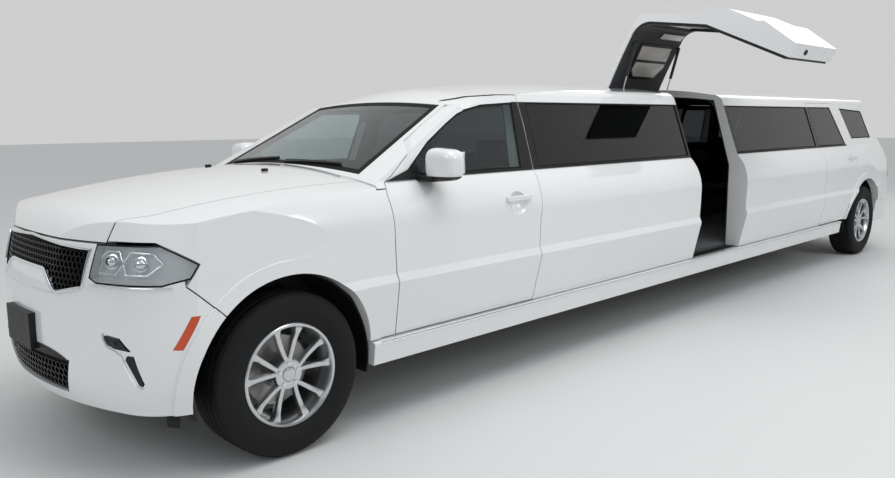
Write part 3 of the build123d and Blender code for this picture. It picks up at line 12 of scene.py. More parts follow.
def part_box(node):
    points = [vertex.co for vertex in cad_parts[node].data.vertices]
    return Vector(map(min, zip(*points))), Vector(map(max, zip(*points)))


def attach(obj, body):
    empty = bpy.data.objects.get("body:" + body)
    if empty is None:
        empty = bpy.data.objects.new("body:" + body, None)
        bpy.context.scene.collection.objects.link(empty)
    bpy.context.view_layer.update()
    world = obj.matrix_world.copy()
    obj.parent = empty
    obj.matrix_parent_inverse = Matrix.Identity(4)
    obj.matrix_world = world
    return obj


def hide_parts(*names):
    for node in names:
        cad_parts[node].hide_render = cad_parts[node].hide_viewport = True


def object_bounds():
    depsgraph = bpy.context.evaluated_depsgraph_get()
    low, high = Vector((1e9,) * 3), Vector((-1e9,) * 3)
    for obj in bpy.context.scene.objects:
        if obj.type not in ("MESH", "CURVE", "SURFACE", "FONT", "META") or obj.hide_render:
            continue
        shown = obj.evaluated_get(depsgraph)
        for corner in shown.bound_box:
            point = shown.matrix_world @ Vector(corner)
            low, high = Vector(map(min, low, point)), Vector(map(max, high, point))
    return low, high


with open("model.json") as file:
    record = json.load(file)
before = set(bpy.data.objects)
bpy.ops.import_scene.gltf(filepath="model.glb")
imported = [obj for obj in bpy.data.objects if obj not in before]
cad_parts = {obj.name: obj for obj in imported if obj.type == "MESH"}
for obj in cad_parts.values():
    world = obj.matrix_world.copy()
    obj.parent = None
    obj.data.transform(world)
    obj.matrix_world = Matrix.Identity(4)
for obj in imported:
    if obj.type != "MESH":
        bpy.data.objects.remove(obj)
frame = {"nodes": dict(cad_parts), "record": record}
CAD_LOW, CAD_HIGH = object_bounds()

bl_info = {
    "name": "Stretch Limousine",
    "version": (1, 0, 0),
    "blender": (4, 5, 0),
    "location": "View3D > Sidebar > Limousine",
    "description": "Finishes and fine pieces of a stretch limousine with a jet door",
    "category": "Object",
}

AXLE_X, AXLE_Z, WHEEL_Y = 3.805, 0.150, 0.8115
WHEELS = (
    # corner, body, centre along X, side
    ("front_left", "wheel_front_left", AXLE_X, 1),
    ("front_right", "wheel_front_right", AXLE_X, -1),
    ("rear_left", "wheel_rear_left", -AXLE_X, 1),
    ("rear_right", "wheel_rear_right", -AXLE_X, -1),
)
BELT = Vector((0.853, 0.998))
RAIL = Vector((0.695, 1.451))
JET_HINGE = Vector((0, 0.020, 1.560))
JET_OPEN = radians(66)
JET_MID_X = -0.356
DOME = 0.104
PANE_LOW_Z, PANE_HIGH_Z = 1.010, 1.408
SEAM_X = -2.565
SILL_SEAM_Z, RAIL_SEAM_Z = 0.216, 1.440
SIDES = (("left", 1), ("right", -1))
WELD = 1e-5
FAR = 8
TYRE_STEPS = 120
PAD_CUTS = 14
SIDE_SECTION = (
    # height, half width of the body's side
    (0.209, 0.902), (0.498, 0.967), (0.540, 0.950), (0.735, 0.956), (0.890, 0.928), (0.998, 0.853), (1.451, 0.695),
)
CAMERA_PLACE = (5.7304, 3.8843, 1.2977)
CAMERA_YAW, CAMERA_PITCH, CAMERA_ROLL = radians(225.271), radians(-8.583), radians(-0.413)
LIGHT_AIM = Vector((0.5, 0, 0.6))
LIGHTS = (
    # name, place, size, share of the key power
    ("overhead", (2.0, 2.5, 7.0), 5.0, 1.0),
    ("left_wall", (-2.0, 11.0, 6.5), 4.0, 0.8),
    ("front_wall", (11.0, 1.0, 6.0), 4.0, 0.5),
    ("rear_wall", (-10.0, -3.0, 6.0), 6.0, 0.5),
)


def colour_setting(name, description, default):
    """Colour with its alpha, for a settings group."""
    return bpy.props.FloatVectorProperty(
        name=name, description=description, subtype="COLOR", size=4, min=0, max=1, default=default)


class LimoPaintSettings(bpy.types.PropertyGroup):
    """Colours of the body and of the cabin."""

    paint: colour_setting("Paint", "Body colour", (0.86, 0.86, 0.855, 1))
    lining: colour_setting("Lining", "Colour of the cabin lining", (0.018, 0.018, 0.02, 1))
    leather: colour_setting("Leather", "Colour of the seats", (0.022, 0.021, 0.022, 1))
    privacy: colour_setting("Privacy glass", "Tint of the stretch and rear glass", (0.05, 0.055, 0.06, 1))
    tint: colour_setting("Front glass", "Tint of the front glass", (0.52, 0.62, 0.62, 1))


class LimoWheelSettings(bpy.types.PropertyGroup):
    """Sizes of the tyres and rims."""

    tyre_radius: bpy.props.FloatProperty(
        name="Tyre radius", description="Outer radius of the tread", default=0.385, unit="LENGTH")
    groove: bpy.props.FloatProperty(
        name="Groove depth", description="Depth of the tread's grooves", default=0.007, unit="LENGTH")
    split: bpy.props.FloatProperty(
        name="Spoke split", description="Half angle between the two spokes of a pair", default=radians(15.5),
        subtype="ANGLE")


class LimoStageSettings(bpy.types.PropertyGroup):
    """Camera and light."""

    lens: bpy.props.FloatProperty(
        name="Lens", description="Focal length on a 36 mm wide sensor", default=31.55, min=5)
    key: bpy.props.FloatProperty(
        name="Key light", description="Power of the large overhead light", default=230, unit="POWER")
    sky: bpy.props.FloatProperty(
        name="Surround", description="Brightness of the studio's walls", default=0.62, min=0)


# Shader groups
def new_group(name, inputs, outputs):
    """Empty shader group with named sockets, and its two end nodes."""
    group = bpy.data.node_groups.new(name, "ShaderNodeTree")
    for label, kind, value in inputs:
        socket = group.interface.new_socket(label, in_out="INPUT", socket_type=kind)
        socket.default_value = value
    for label, kind in outputs:
        group.interface.new_socket(label, in_out="OUTPUT", socket_type=kind)
    return group, group.nodes.new("NodeGroupInput"), group.nodes.new("NodeGroupOutput")


def math_node(tree, operation, a, b=None, c=None):
    """Math node whose operands are sockets or plain numbers."""
    node = tree.nodes.new("ShaderNodeMath")
    node.operation = operation
    for k, value in enumerate((a, b, c)):
        if value is None:
            continue
        if isinstance(value, (int, float)):
            node.inputs[k].default_value = value
        else:
            tree.links.new(value, node.inputs[k])
    return node.outputs[0]


def noise_node(tree, scale, detail=3.0):
    """Noise on Object coordinates."""
    node = tree.nodes.new("ShaderNodeTexNoise")
    node.inputs["Detail"].default_value = detail
    if isinstance(scale, (int, float)):
        node.inputs["Scale"].default_value = scale
    else:
        tree.links.new(scale, node.inputs["Scale"])
    tree.links.new(tree.nodes.new("ShaderNodeTexCoord").outputs["Object"], node.inputs["Vector"])
    return node.outputs["Fac"]


def mix_colour(tree, factor, a, b):
    """Colour mix of two sockets or plain colours."""
    node = tree.nodes.new("ShaderNodeMix")
    node.data_type = "RGBA"
    for socket, value in ((node.inputs[0], factor), (node.inputs[6], a), (node.inputs[7], b)):
        if isinstance(value, (int, float)):
            socket.default_value = value
        elif isinstance(value, (tuple, list)) or hasattr(value, "foreach_get"):
            socket.default_value = tuple(value)
        else:
            tree.links.new(value, socket)
    return node.outputs[2]


def object_axes(tree):
    """Object coordinates, whole and by axis."""
    coords = tree.nodes.new("ShaderNodeTexCoord")
    split = tree.nodes.new("ShaderNodeSeparateXYZ")
    tree.links.new(coords.outputs["Object"], split.inputs[0])
    return coords, split


def make_groups():
    """Uneven tone, fine grain, road film and the mask of the cabin's inside."""
    group, start, end = new_group(
        "uneven_tone",
        (("Color", "NodeSocketColor", (0.5, 0.5, 0.5, 1)), ("Scale", "NodeSocketFloat", 4.0),
         ("Amount", "NodeSocketFloat", 0.1), ("Roughness", "NodeSocketFloat", 0.4)),
        (("Color", "NodeSocketColor"), ("Roughness", "NodeSocketFloat")))
    fac = noise_node(group, start.outputs["Scale"])
    swing = math_node(group, "MULTIPLY", math_node(group, "SUBTRACT", fac, 0.5), start.outputs["Amount"])
    gain = math_node(group, "ADD", swing, 1.0)
    scale = group.nodes.new("ShaderNodeVectorMath")
    scale.operation = "SCALE"
    group.links.new(start.outputs["Color"], scale.inputs[0])
    group.links.new(gain, scale.inputs["Scale"])
    group.links.new(scale.outputs[0], end.inputs["Color"])
    rough = math_node(group, "ADD", start.outputs["Roughness"], math_node(group, "MULTIPLY", swing, 0.6))
    group.links.new(rough, end.inputs["Roughness"])

    group, start, end = new_group(
        "fine_grain",
        (("Scale", "NodeSocketFloat", 400.0), ("Cells", "NodeSocketFloat", 0.5)),
        (("Height", "NodeSocketFloat"),))
    fac = noise_node(group, start.outputs["Scale"], 4.0)
    cells = group.nodes.new("ShaderNodeTexVoronoi")
    group.links.new(start.outputs["Scale"], cells.inputs["Scale"])
    coords = group.nodes.new("ShaderNodeTexCoord")
    group.links.new(coords.outputs["Object"], cells.inputs["Vector"])
    rounded = math_node(group, "MULTIPLY", cells.outputs["Distance"], start.outputs["Cells"])
    group.links.new(math_node(group, "SUBTRACT", fac, rounded), end.inputs["Height"])

    group, start, end = new_group(
        "road_film",
        (("Top", "NodeSocketFloat", 0.3), ("Depth", "NodeSocketFloat", 0.4), ("Amount", "NodeSocketFloat", 0.3)),
        (("Mask", "NodeSocketFloat"),))
    split = object_axes(group)[1]
    down = math_node(group, "DIVIDE", math_node(group, "SUBTRACT", start.outputs["Top"], split.outputs["Z"]),
                     start.outputs["Depth"])
    clear = group.nodes.new("ShaderNodeClamp")
    group.links.new(down, clear.inputs[0])
    patchy = math_node(group, "MULTIPLY", clear.outputs[0], noise_node(group, 9.0, 6.0))
    group.links.new(math_node(group, "MULTIPLY", patchy, start.outputs["Amount"]), end.inputs["Mask"])

    group, start, end = new_group("cabin_inside", (), (("Mask", "NodeSocketFloat"),))
    coords, split = object_axes(group)
    y = math_node(group, "ABSOLUTE", split.outputs["Y"])
    rise = math_node(group, "MAXIMUM", math_node(group, "SUBTRACT", split.outputs["Z"], 0.905), 0.0)
    wall = math_node(group, "LESS_THAN", y, math_node(group, "MULTIPLY_ADD", rise, -0.2967, 0.785))
    dome = math_node(group, "MULTIPLY_ADD", math_node(group, "MULTIPLY", y, y), -DOME, 1.497)
    under = math_node(group, "LESS_THAN", split.outputs["Z"], dome)
    screen = math_node(group, "MULTIPLY_ADD", split.outputs["X"], -0.5075, 2.639)
    behind = math_node(group, "LESS_THAN", split.outputs["Z"], screen)
    tail = math_node(group, "MULTIPLY_ADD", rise, 0.69, -4.83)
    ahead = math_node(group, "GREATER_THAN", split.outputs["X"], tail)
    facing = group.nodes.new("ShaderNodeVectorMath")
    facing.operation = "DOT_PRODUCT"
    outward = group.nodes.new("ShaderNodeCombineXYZ")
    group.links.new(split.outputs["Y"], outward.inputs["Y"])
    group.links.new(math_node(group, "SUBTRACT", split.outputs["Z"], 0.9), outward.inputs["Z"])
    group.links.new(outward.outputs[0], facing.inputs[0])
    group.links.new(coords.outputs["Normal"], facing.inputs[1])
    inward = math_node(group, "LESS_THAN", facing.outputs["Value"], 0.12)
    sides = math_node(group, "MULTIPLY", math_node(group, "MULTIPLY", wall, under), inward)
    ends = math_node(group, "MULTIPLY", behind, ahead)
    group.links.new(math_node(group, "MULTIPLY", sides, ends), end.inputs["Mask"])


def place_group(tree, name, **values):
    """Group node in a material, with its own values."""
    node = tree.nodes.new("ShaderNodeGroup")
    node.node_tree = bpy.data.node_groups[name]
    for key, value in values.items():
        node.inputs[key].default_value = value
    return node


def new_finish(name, colour, roughness, tone=(4.0, 0.1), grain=None, film=None, **sockets):
    """Principled material with uneven tone, an optional grain bump and an optional road film."""
    material = bpy.data.materials.new(name)
    material.use_nodes = True
    tree = material.node_tree
    shader = tree.nodes["Principled BSDF"]
    tones = place_group(tree, "uneven_tone", Color=tuple(colour), Scale=tone[0], Amount=tone[1],
                        Roughness=roughness)
    colour_out, rough_out = tones.outputs["Color"], tones.outputs["Roughness"]
    if film:
        mask = place_group(tree, "road_film", Top=film[0], Depth=film[1], Amount=film[2]).outputs["Mask"]
        colour_out = mix_colour(tree, mask, colour_out, (0.30, 0.27, 0.23, 1))
        rough_out = math_node(tree, "ADD", rough_out, math_node(tree, "MULTIPLY", mask, 0.4))
    tree.links.new(colour_out, shader.inputs["Base Color"])
    tree.links.new(rough_out, shader.inputs["Roughness"])
    if grain:
        bump = tree.nodes.new("ShaderNodeBump")
        bump.inputs["Strength"].default_value = grain[1]
        bump.inputs["Distance"].default_value = grain[2]
        height = place_group(tree, "fine_grain", Scale=grain[0], Cells=grain[3] if len(grain) > 3 else 0.5)
        tree.links.new(height.outputs["Height"], bump.inputs["Height"])
        tree.links.new(bump.outputs["Normal"], shader.inputs["Normal"])
    for key, value in sockets.items():
        shader.inputs[key.replace("_", " ")].default_value = value
    return material


def line_inside(tree, lining):
    """Gives a painted material a woven lining on the cabin's side."""
    shader = tree.nodes["Principled BSDF"]
    inside = place_group(tree, "cabin_inside").outputs["Mask"]
    weave = place_group(tree, "fine_grain", Scale=700.0, Cells=0.8)
    outer_colour = shader.inputs["Base Color"].links[0].from_socket
    outer_rough = shader.inputs["Roughness"].links[0].from_socket
    tree.links.new(mix_colour(tree, inside, outer_colour, lining), shader.inputs["Base Color"])
    tree.links.new(math_node(tree, "MULTIPLY_ADD", inside, 0.7, outer_rough), shader.inputs["Roughness"])
    tree.links.new(math_node(tree, "SUBTRACT", 1.0, inside), shader.inputs["Coat Weight"])
    bump = tree.nodes.new("ShaderNodeBump")
    bump.inputs["Distance"].default_value = 0.0004
    bump.inputs["Strength"].default_value = 0.12
    tree.links.new(math_node(tree, "MULTIPLY", weave.outputs["Height"], inside), bump.inputs["Height"])
    tree.links.new(bump.outputs["Normal"], shader.inputs["Normal"])


def finish(name):
    """Material made earlier, by name."""
    return bpy.data.materials[name]


# Mesh helpers
def read_node(name):
    """Welded copy of a CAD node's mesh."""
    bm = bmesh.new()
    bm.from_mesh(frame["nodes"][name].data)
    bmesh.ops.remove_doubles(bm, verts=bm.verts[:], dist=WELD)
    bm.normal_update()
    return bm


def join_mesh(target, source):
    """Adds one bmesh to another and frees it."""
    mesh = bpy.data.meshes.new("joined")
    source.to_mesh(mesh)
    source.free()
    target.from_mesh(mesh)
    bpy.data.meshes.remove(mesh)


def round_edges(bm, edges, offset, segments=2):
    """Rounds some edges off."""
    bmesh.ops.bevel(bm, geom=edges, offset=offset, segments=segments, profile=0.5, affect="EDGES", material=-1)


def thicken(bm, faces, push):
    """Pushes faces out into a solid."""
    made = bmesh.ops.extrude_face_region(bm, geom=faces)
    bmesh.ops.translate(bm, vec=push, verts=[v for v in made["geom"] if isinstance(v, bmesh.types.BMVert)])


def edge_band(bm, width):
    """Faces of a band inset along the open edges of a bmesh."""
    made = bmesh.ops.inset_region(bm, faces=bm.faces[:], thickness=width, use_even_offset=True, use_boundary=True)
    return set(made["faces"])


def keep_faces(bm, test):
    """Deletes the faces that fail a test."""
    bmesh.ops.delete(bm, geom=[f for f in bm.faces if not test(f)], context="FACES")


def cut_level(bm, z, **clear):
    """Cuts a bmesh at a height, clears one side of it and closes the cut."""
    made = bmesh.ops.bisect_plane(bm, geom=bm.verts[:] + bm.edges[:] + bm.faces[:], plane_co=(0, 0, z),
                                  plane_no=(0, 0, 1), **clear)
    edges = [e for e in made["geom_cut"] if isinstance(e, bmesh.types.BMEdge)]
    bmesh.ops.holes_fill(bm, edges=edges, sides=0)
    bmesh.ops.recalc_face_normals(bm, faces=bm.faces[:])


def add_piece(bm, name, body, material, angle=35):
    """Turns a bmesh into a piece that rides on a body."""
    mesh = bpy.data.meshes.new(name)
    bm.to_mesh(mesh)
    bm.free()
    mesh.shade_smooth()
    mesh.set_sharp_from_angle(angle=radians(angle))
    mesh.materials.append(finish(material))
    piece = bpy.data.objects.new(name, mesh)
    bpy.context.scene.collection.objects.link(piece)
    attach(piece, body)
    return piece


def add_block(bm, size, place, bevel=0.0, segments=2):
    """Box of a size at a place, with rounded edges."""
    made = bmesh.ops.create_cube(bm, size=1.0, matrix=place @ Matrix.Diagonal((*size, 1)))
    if bevel:
        edges = list({e for v in made["verts"] for e in v.link_edges})
        round_edges(bm, edges, bevel, segments)


def add_disc(bm, radius, depth, place, segments=32, bevel=0.0):
    """Disc about the place's Z axis, with rounded edges."""
    made = bmesh.ops.create_cone(bm, cap_ends=True, segments=segments, radius1=radius, radius2=radius, depth=depth,
                                 matrix=place)
    if bevel:
        edges = [e for e in {e for v in made["verts"] for e in v.link_edges}
                 if any(len(f.verts) > 4 for f in e.link_faces)]
        round_edges(bm, edges, bevel)


def add_slab(bm, points, push):
    """Flat outline pushed into a slab."""
    face = bm.faces.new([bm.verts.new(p) for p in points])
    thicken(bm, [face], push)
    bmesh.ops.recalc_face_normals(bm, faces=bm.faces[:])


def add_ring(bm, section, centre, axis=(0, 1, 0), steps=96):
    """Closed section spun about an axis."""
    verts = [bm.verts.new(p) for p in section]
    edges = [bm.edges.new((verts[k - 1], verts[k])) for k in range(len(verts))]
    bmesh.ops.spin(bm, geom=verts + edges, cent=centre, axis=axis, dvec=(0, 0, 0), angle=2 * pi, steps=steps,
                   use_merge=True)
    bmesh.ops.recalc_face_normals(bm, faces=bm.faces[:])


def add_tube(bm, points, radius, closed=False, sides=4):
    """Round bar along a line of points."""
    curve = bpy.data.curves.new("bar_line", "CURVE")
    curve.dimensions = "3D"
    curve.bevel_depth = radius
    curve.bevel_resolution = sides
    curve.use_fill_caps = True
    spline = curve.splines.new("POLY")
    spline.points.add(len(points) - 1)
    for point, place in zip(spline.points, points):
        point.co = (*place, 1)
    spline.use_cyclic_u = closed
    holder = bpy.data.objects.new("bar_line", curve)
    bpy.context.scene.collection.objects.link(holder)
    bpy.context.view_layer.update()
    mesh = bpy.data.meshes.new_from_object(holder.evaluated_get(bpy.context.evaluated_depsgraph_get()))
    bm.from_mesh(mesh)
    bpy.data.objects.remove(holder)
    bpy.data.curves.remove(curve)
    bpy.data.meshes.remove(mesh)


SKINS = {}


def skin(*nodes):
    """Search tree of some CAD nodes' triangles."""
    if nodes not in SKINS:
        verts, faces = [], []
        for name in nodes:
            mesh = frame["nodes"][name].data
            base = len(verts)
            verts += [v.co.copy() for v in mesh.vertices]
            faces += [[base + k for k in p.vertices] for p in mesh.polygons]
        SKINS[nodes] = BVHTree.FromPolygons(verts, faces)
    return SKINS[nodes]


def from_front(tree, y, z, lift=0.0):
    """Point where a line from ahead meets the skin, lifted off it."""
    hit = tree.ray_cast(Vector((FAR, y, z)), Vector((-1, 0, 0)))[0]
    return None if hit is None else hit + Vector((lift, 0, 0))


def from_behind(tree, y, z, lift):
    """Point where a line from behind meets the skin, lifted off it."""
    hit = tree.ray_cast(Vector((-FAR, y, z)), Vector((1, 0, 0)))[0]
    return None if hit is None else hit - Vector((lift, 0, 0))


def hits(points):
    """The points of a line that met the skin."""
    return [p for p in points if p is not None]


def divided(outline, steps):
    """Closed outline with each edge cut into steps."""
    points = []
    for k, (y, z) in enumerate(outline):
        y0, z0 = outline[k - 1]
        points += [(y0 + (y - y0) * step / steps, z0 + (z - z0) * step / steps) for step in range(steps)]
    return points


def side_point(x, z, lift=0.0, side=1):
    """Point on the leaning plane of the side windows."""
    share = (z - BELT.y) / (RAIL.y - BELT.y)
    return Vector((x, side * (BELT.x + (RAIL.x - BELT.x) * share + lift), z))


def jet_swing(point):
    """Where a point of the shut jet door lies with the door open."""
    return Matrix.Rotation(JET_OPEN, 4, "X") @ (Vector(point) - JET_HINGE) + JET_HINGE


def side_slab(bm, outline, lift, depth, side=1):
    """Flat panel on the leaning plane of the side windows."""
    lean = Vector((0, side * (RAIL.y - BELT.y), BELT.x - RAIL.x)).normalized()
    add_slab(bm, [side_point(x, z, lift, side) for x, z in outline], lean * depth)


def body_y(z):
    """Half width of the body's side at a height."""
    for (z0, y0), (z1, y1) in zip(SIDE_SECTION, SIDE_SECTION[1:]):
        if z <= z1:
            return y0 + (y1 - y0) * (z - z0) / (z1 - z0)
    return SIDE_SECTION[-1][1]


def within(outline, y, z):
    """True inside a closed outline in front view."""
    inside = False
    for k, (y1, z1) in enumerate(outline):
        y0, z0 = outline[k - 1]
        if (z0 > z) != (z1 > z) and y < (y1 - y0) * (z - z0) / (z1 - z0) + y0:
            inside = not inside
    return inside


def pane_band(node, facing, width, lift, depth):
    """Band along the edge of each pane of a glass node, on its outer face."""
    bm = read_node(node)
    keep_faces(bm, facing)
    bmesh.ops.dissolve_limit(bm, angle_limit=radians(0.4), verts=bm.verts[:], edges=bm.edges[:])
    band = edge_band(bm, width)
    keep_faces(bm, lambda f: f in band)
    bm.normal_update()
    for v in bm.verts:
        v.co += v.normal * lift
    made = bmesh.ops.extrude_face_region(bm, geom=bm.faces[:])
    for v in made["geom"]:
        if isinstance(v, bmesh.types.BMVert):
            v.co += v.normal * depth
    bmesh.ops.recalc_face_normals(bm, faces=bm.faces[:])
    return bm


def add_pad(name, size, place, crown, channels):
    """Crowned leather pad with its sides drawn in between the corners and sewn channels across it."""
    bm = bmesh.new()
    bmesh.ops.create_cube(bm, size=2.0)
    bmesh.ops.subdivide_edges(bm, edges=bm.edges[:], cuts=PAD_CUTS, use_grid_fill=True)
    lines = [2 * (k + 1) / (channels + 1) - 1 for k in range(channels)]
    for v in bm.verts:
        a, b, c = v.co
        round_off = (abs(a) ** 9 + abs(b) ** 9 + abs(c) ** 9) ** (-1 / 9)
        a, b, c = a * round_off, b * round_off, c * round_off
        a *= 1 - 0.030 * (1 - b * b)
        b *= 1 - 0.030 * (1 - a * a)
        if c > 0:
            c *= 1 - crown + crown * (1 - a * a) * (1 - b * b)
            c -= sum(0.16 * max(0.0, 1 - abs(a - line) / 0.07) for line in lines) * (1 - b ** 4)
        v.co = (a / 2, b / 2, c / 2)
    bmesh.ops.transform(bm, matrix=place @ Matrix.Diagonal((*size, 1)), verts=bm.verts[:])
    bmesh.ops.recalc_face_normals(bm, faces=bm.faces[:])
    pad = add_piece(bm, name, "body", "black_leather", 60)


class LIMO_OT_finishes(bpy.types.Operator):
    """Make every finish and give each CAD node its own"""

    bl_idname = "limo.finishes"
    bl_label = "Finishes"

    def execute(self, context):
        colours = context.scene.limo_paint
        make_groups()
        paint, lining = tuple(colours.paint), tuple(colours.lining)
        new_finish("gloss_white_paint", paint, 0.12, (1.3, 0.03), (900.0, 0.012, 0.0004), (0.25, 0.35, 0.25),
                   Coat_Weight=1.0, Coat_Roughness=0.025, Specular_IOR_Level=0.5)
        panel = new_finish("painted_panel", paint, 0.12, (1.3, 0.03), None, (0.25, 0.35, 0.25),
                           Coat_Roughness=0.025, Specular_IOR_Level=0.5)
        line_inside(panel.node_tree, lining)
        new_finish("dark_glass", colours.privacy, 0.015, (2.0, 0.04), Transmission_Weight=1.0, IOR=1.48)
        new_finish("tinted_glass", colours.tint, 0.012, (2.0, 0.03), Transmission_Weight=1.0, IOR=1.45)
        new_finish("lamp_cover", (0.96, 0.97, 0.97, 1), 0.02, (3.0, 0.02), Transmission_Weight=1.0, IOR=1.42)
        new_finish("bright_chrome", (0.82, 0.84, 0.86, 1), 0.06, (6.0, 0.05), Metallic=1.0)
        new_finish("lamp_reflector", (0.90, 0.91, 0.92, 1), 0.30, (4.0, 0.06))
        new_finish("light_guide", (0.90, 0.91, 0.92, 1), 0.25, (9.0, 0.04), (500.0, 0.05, 0.0005))
        new_finish("red_plastic", (0.38, 0.012, 0.012, 1), 0.08, (30.0, 0.12), (160.0, 0.12, 0.001),
                   Coat_Weight=0.8)
        new_finish("amber_plastic", (0.62, 0.070, 0.012, 1), 0.16, (40.0, 0.12), (160.0, 0.12, 0.001),
                   Coat_Weight=0.3)
        new_finish("moulded_black", (0.008, 0.008, 0.0085, 1), 0.46, (8.0, 0.2), (650.0, 0.18, 0.0006),
                   Specular_IOR_Level=0.3)
        new_finish("gloss_black", (0.005, 0.005, 0.0055, 1), 0.16, (3.0, 0.1), Specular_IOR_Level=0.4)
        # Black rubber of the glass seals and the jet door's edge seal, also used for the painted shade in the door
        # and hood gaps
        new_finish("seal_rubber_and_gap_shade", (0.006, 0.006, 0.006, 1), 0.6, (12.0, 0.2), (420.0, 0.1, 0.0005),
                   Specular_IOR_Level=0.2)
        new_finish("frame_enamel", (0.016, 0.016, 0.017, 1), 0.38, (3.0, 0.3), (140.0, 0.1, 0.001),
                   (0.2, 0.5, 0.5))
        new_finish("cast_iron", (0.11, 0.105, 0.10, 1), 0.62, (6.0, 0.35), (260.0, 0.3, 0.001), (0.4, 0.6, 0.4),
                   Metallic=0.7)
        new_finish("stainless_pipe", (0.42, 0.40, 0.37, 1), 0.34, (5.0, 0.3), None, (0.3, 0.5, 0.4), Metallic=1.0)
        new_finish("polished_rod", (0.72, 0.73, 0.75, 1), 0.10, (20.0, 0.1), Metallic=1.0)
        new_finish("dark_lining", lining, 0.85, (5.0, 0.25), (800.0, 0.35, 0.0008, 0.9), Sheen_Weight=0.2)
        new_finish("carpet", (0.02, 0.02, 0.021, 1), 0.95, (6.0, 0.4), (950.0, 0.8, 0.003, 0.9), Sheen_Weight=0.4)
        new_finish("black_leather", tuple(colours.leather), 0.42, (3.0, 0.3), (260.0, 0.22, 0.0012, 1.1))
        new_finish("black_rubber", (0.012, 0.012, 0.0125, 1), 0.70, (7.0, 0.3), (500.0, 0.2, 0.0005),
                   (0.0, 0.5, 0.02), Specular_IOR_Level=0.2)
        new_finish("silver_alloy", (0.62, 0.63, 0.64, 1), 0.24, (5.0, 0.08), (900.0, 0.04, 0.0003), Metallic=0.95,
                   Coat_Weight=0.4)
        new_finish("brake_iron", (0.36, 0.35, 0.34, 1), 0.38, (40.0, 0.3), (300.0, 0.1, 0.0004), Metallic=1.0)
        new_finish("mirror_silver", (0.80, 0.82, 0.84, 1), 0.02, (3.0, 0.03), Metallic=1.0)
        new_finish("pale_panel", (0.46, 0.43, 0.39, 1), 0.35, (5.0, 0.15), (400.0, 0.06, 0.0006), Coat_Weight=0.3)
        new_finish("studio_floor", (0.72, 0.72, 0.71, 1), 0.55, (0.6, 0.03), (60.0, 0.03, 0.001))

        by_slot = {
            "body_paint": "gloss_white_paint", "privacy_glass": "dark_glass", "clear_glass": "tinted_glass",
            "lamp_chrome": "bright_chrome", "red_lens": "red_plastic", "amber_lens": "amber_plastic",
            "black_plastic": "moulded_black", "sill_bright": "gloss_white_paint", "frame_black": "frame_enamel",
            "cast_metal": "cast_iron", "exhaust_steel": "stainless_pipe", "rod_steel": "polished_rod",
            "dark_trim": "dark_lining", "seat_leather": "black_leather", "tyre_rubber": "black_rubber",
            "rim_alloy": "silver_alloy",
        }
        by_node = {"floor_pan": "carpet"}
        for node in ("roof", "left_stretch_panels", "right_stretch_panel", "rear_quarters", "tailgate",
                     "front_door_left", "front_door_right", "rear_door_left", "rear_door_right"):
            by_node[node] = "painted_panel"
        for row in frame["record"]["subparts"]:
            mesh = frame["nodes"][row["node"]].data
            mesh.materials.clear()
            mesh.materials.append(finish(by_node.get(row["node"], by_slot[row["material_slot"]])))
        return {"FINISHED"}


class LIMO_OT_tyres(bpy.types.Operator):
    """Tyres with grooved ribs and cross cuts"""

    bl_idname = "limo.tyres"
    bl_label = "Tyres"

    def execute(self, context):
        sizes = context.scene.limo_wheels
        top, groove = sizes.tyre_radius, sizes.groove
        base = top - groove
        ribs = (-0.096, -0.058, -0.050, -0.020, -0.012, 0.012, 0.020, 0.050, 0.058, 0.096)
        half = [(0.105, 0.236), (0.112, 0.246), (0.126, 0.275), (0.1315, 0.305), (0.128, 0.335), (0.120, 0.358),
                (0.112, 0.371), (0.104, base - 0.001)]
        section = [(-a, r) for a, r in half] + [(a, base) for a in ribs] + [(a, r) for a, r in reversed(half)]
        section += [(0.100, 0.231), (-0.100, 0.231)]
        for corner, body, x, side in WHEELS:
            bm = bmesh.new()
            centre = Vector((x, side * WHEEL_Y, AXLE_Z))
            add_ring(bm, [centre + Vector((0, a, r)) for a, r in section], centre, steps=TYRE_STEPS)
            bands = []
            for face in bm.faces:
                mid = face.calc_center_median() - centre
                radius = (mid.x ** 2 + mid.z ** 2) ** 0.5
                if radius < base - 0.006 or abs(mid.y) > 0.0965:
                    continue
                rib = next((k for k in range(0, 9, 2) if ribs[k] < mid.y < ribs[k + 1]), None)
                if rib is not None:
                    bands.append((face, rib, mid))
            bmesh.ops.inset_individual(bm, faces=[f for f, rib, mid in bands], thickness=0.0012)
            for face, rib, mid in bands:
                out = Vector((mid.x, 0, mid.z)).normalized()
                crown = groove - 0.004 * (mid.y / 0.096) ** 2
                bmesh.ops.translate(bm, vec=out * crown, verts=face.verts[:])
            tyre = add_piece(bm, f"{corner}_tyre", body, "black_rubber", 30)
            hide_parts(f"tyre_{corner}")
        return {"FINISHED"}


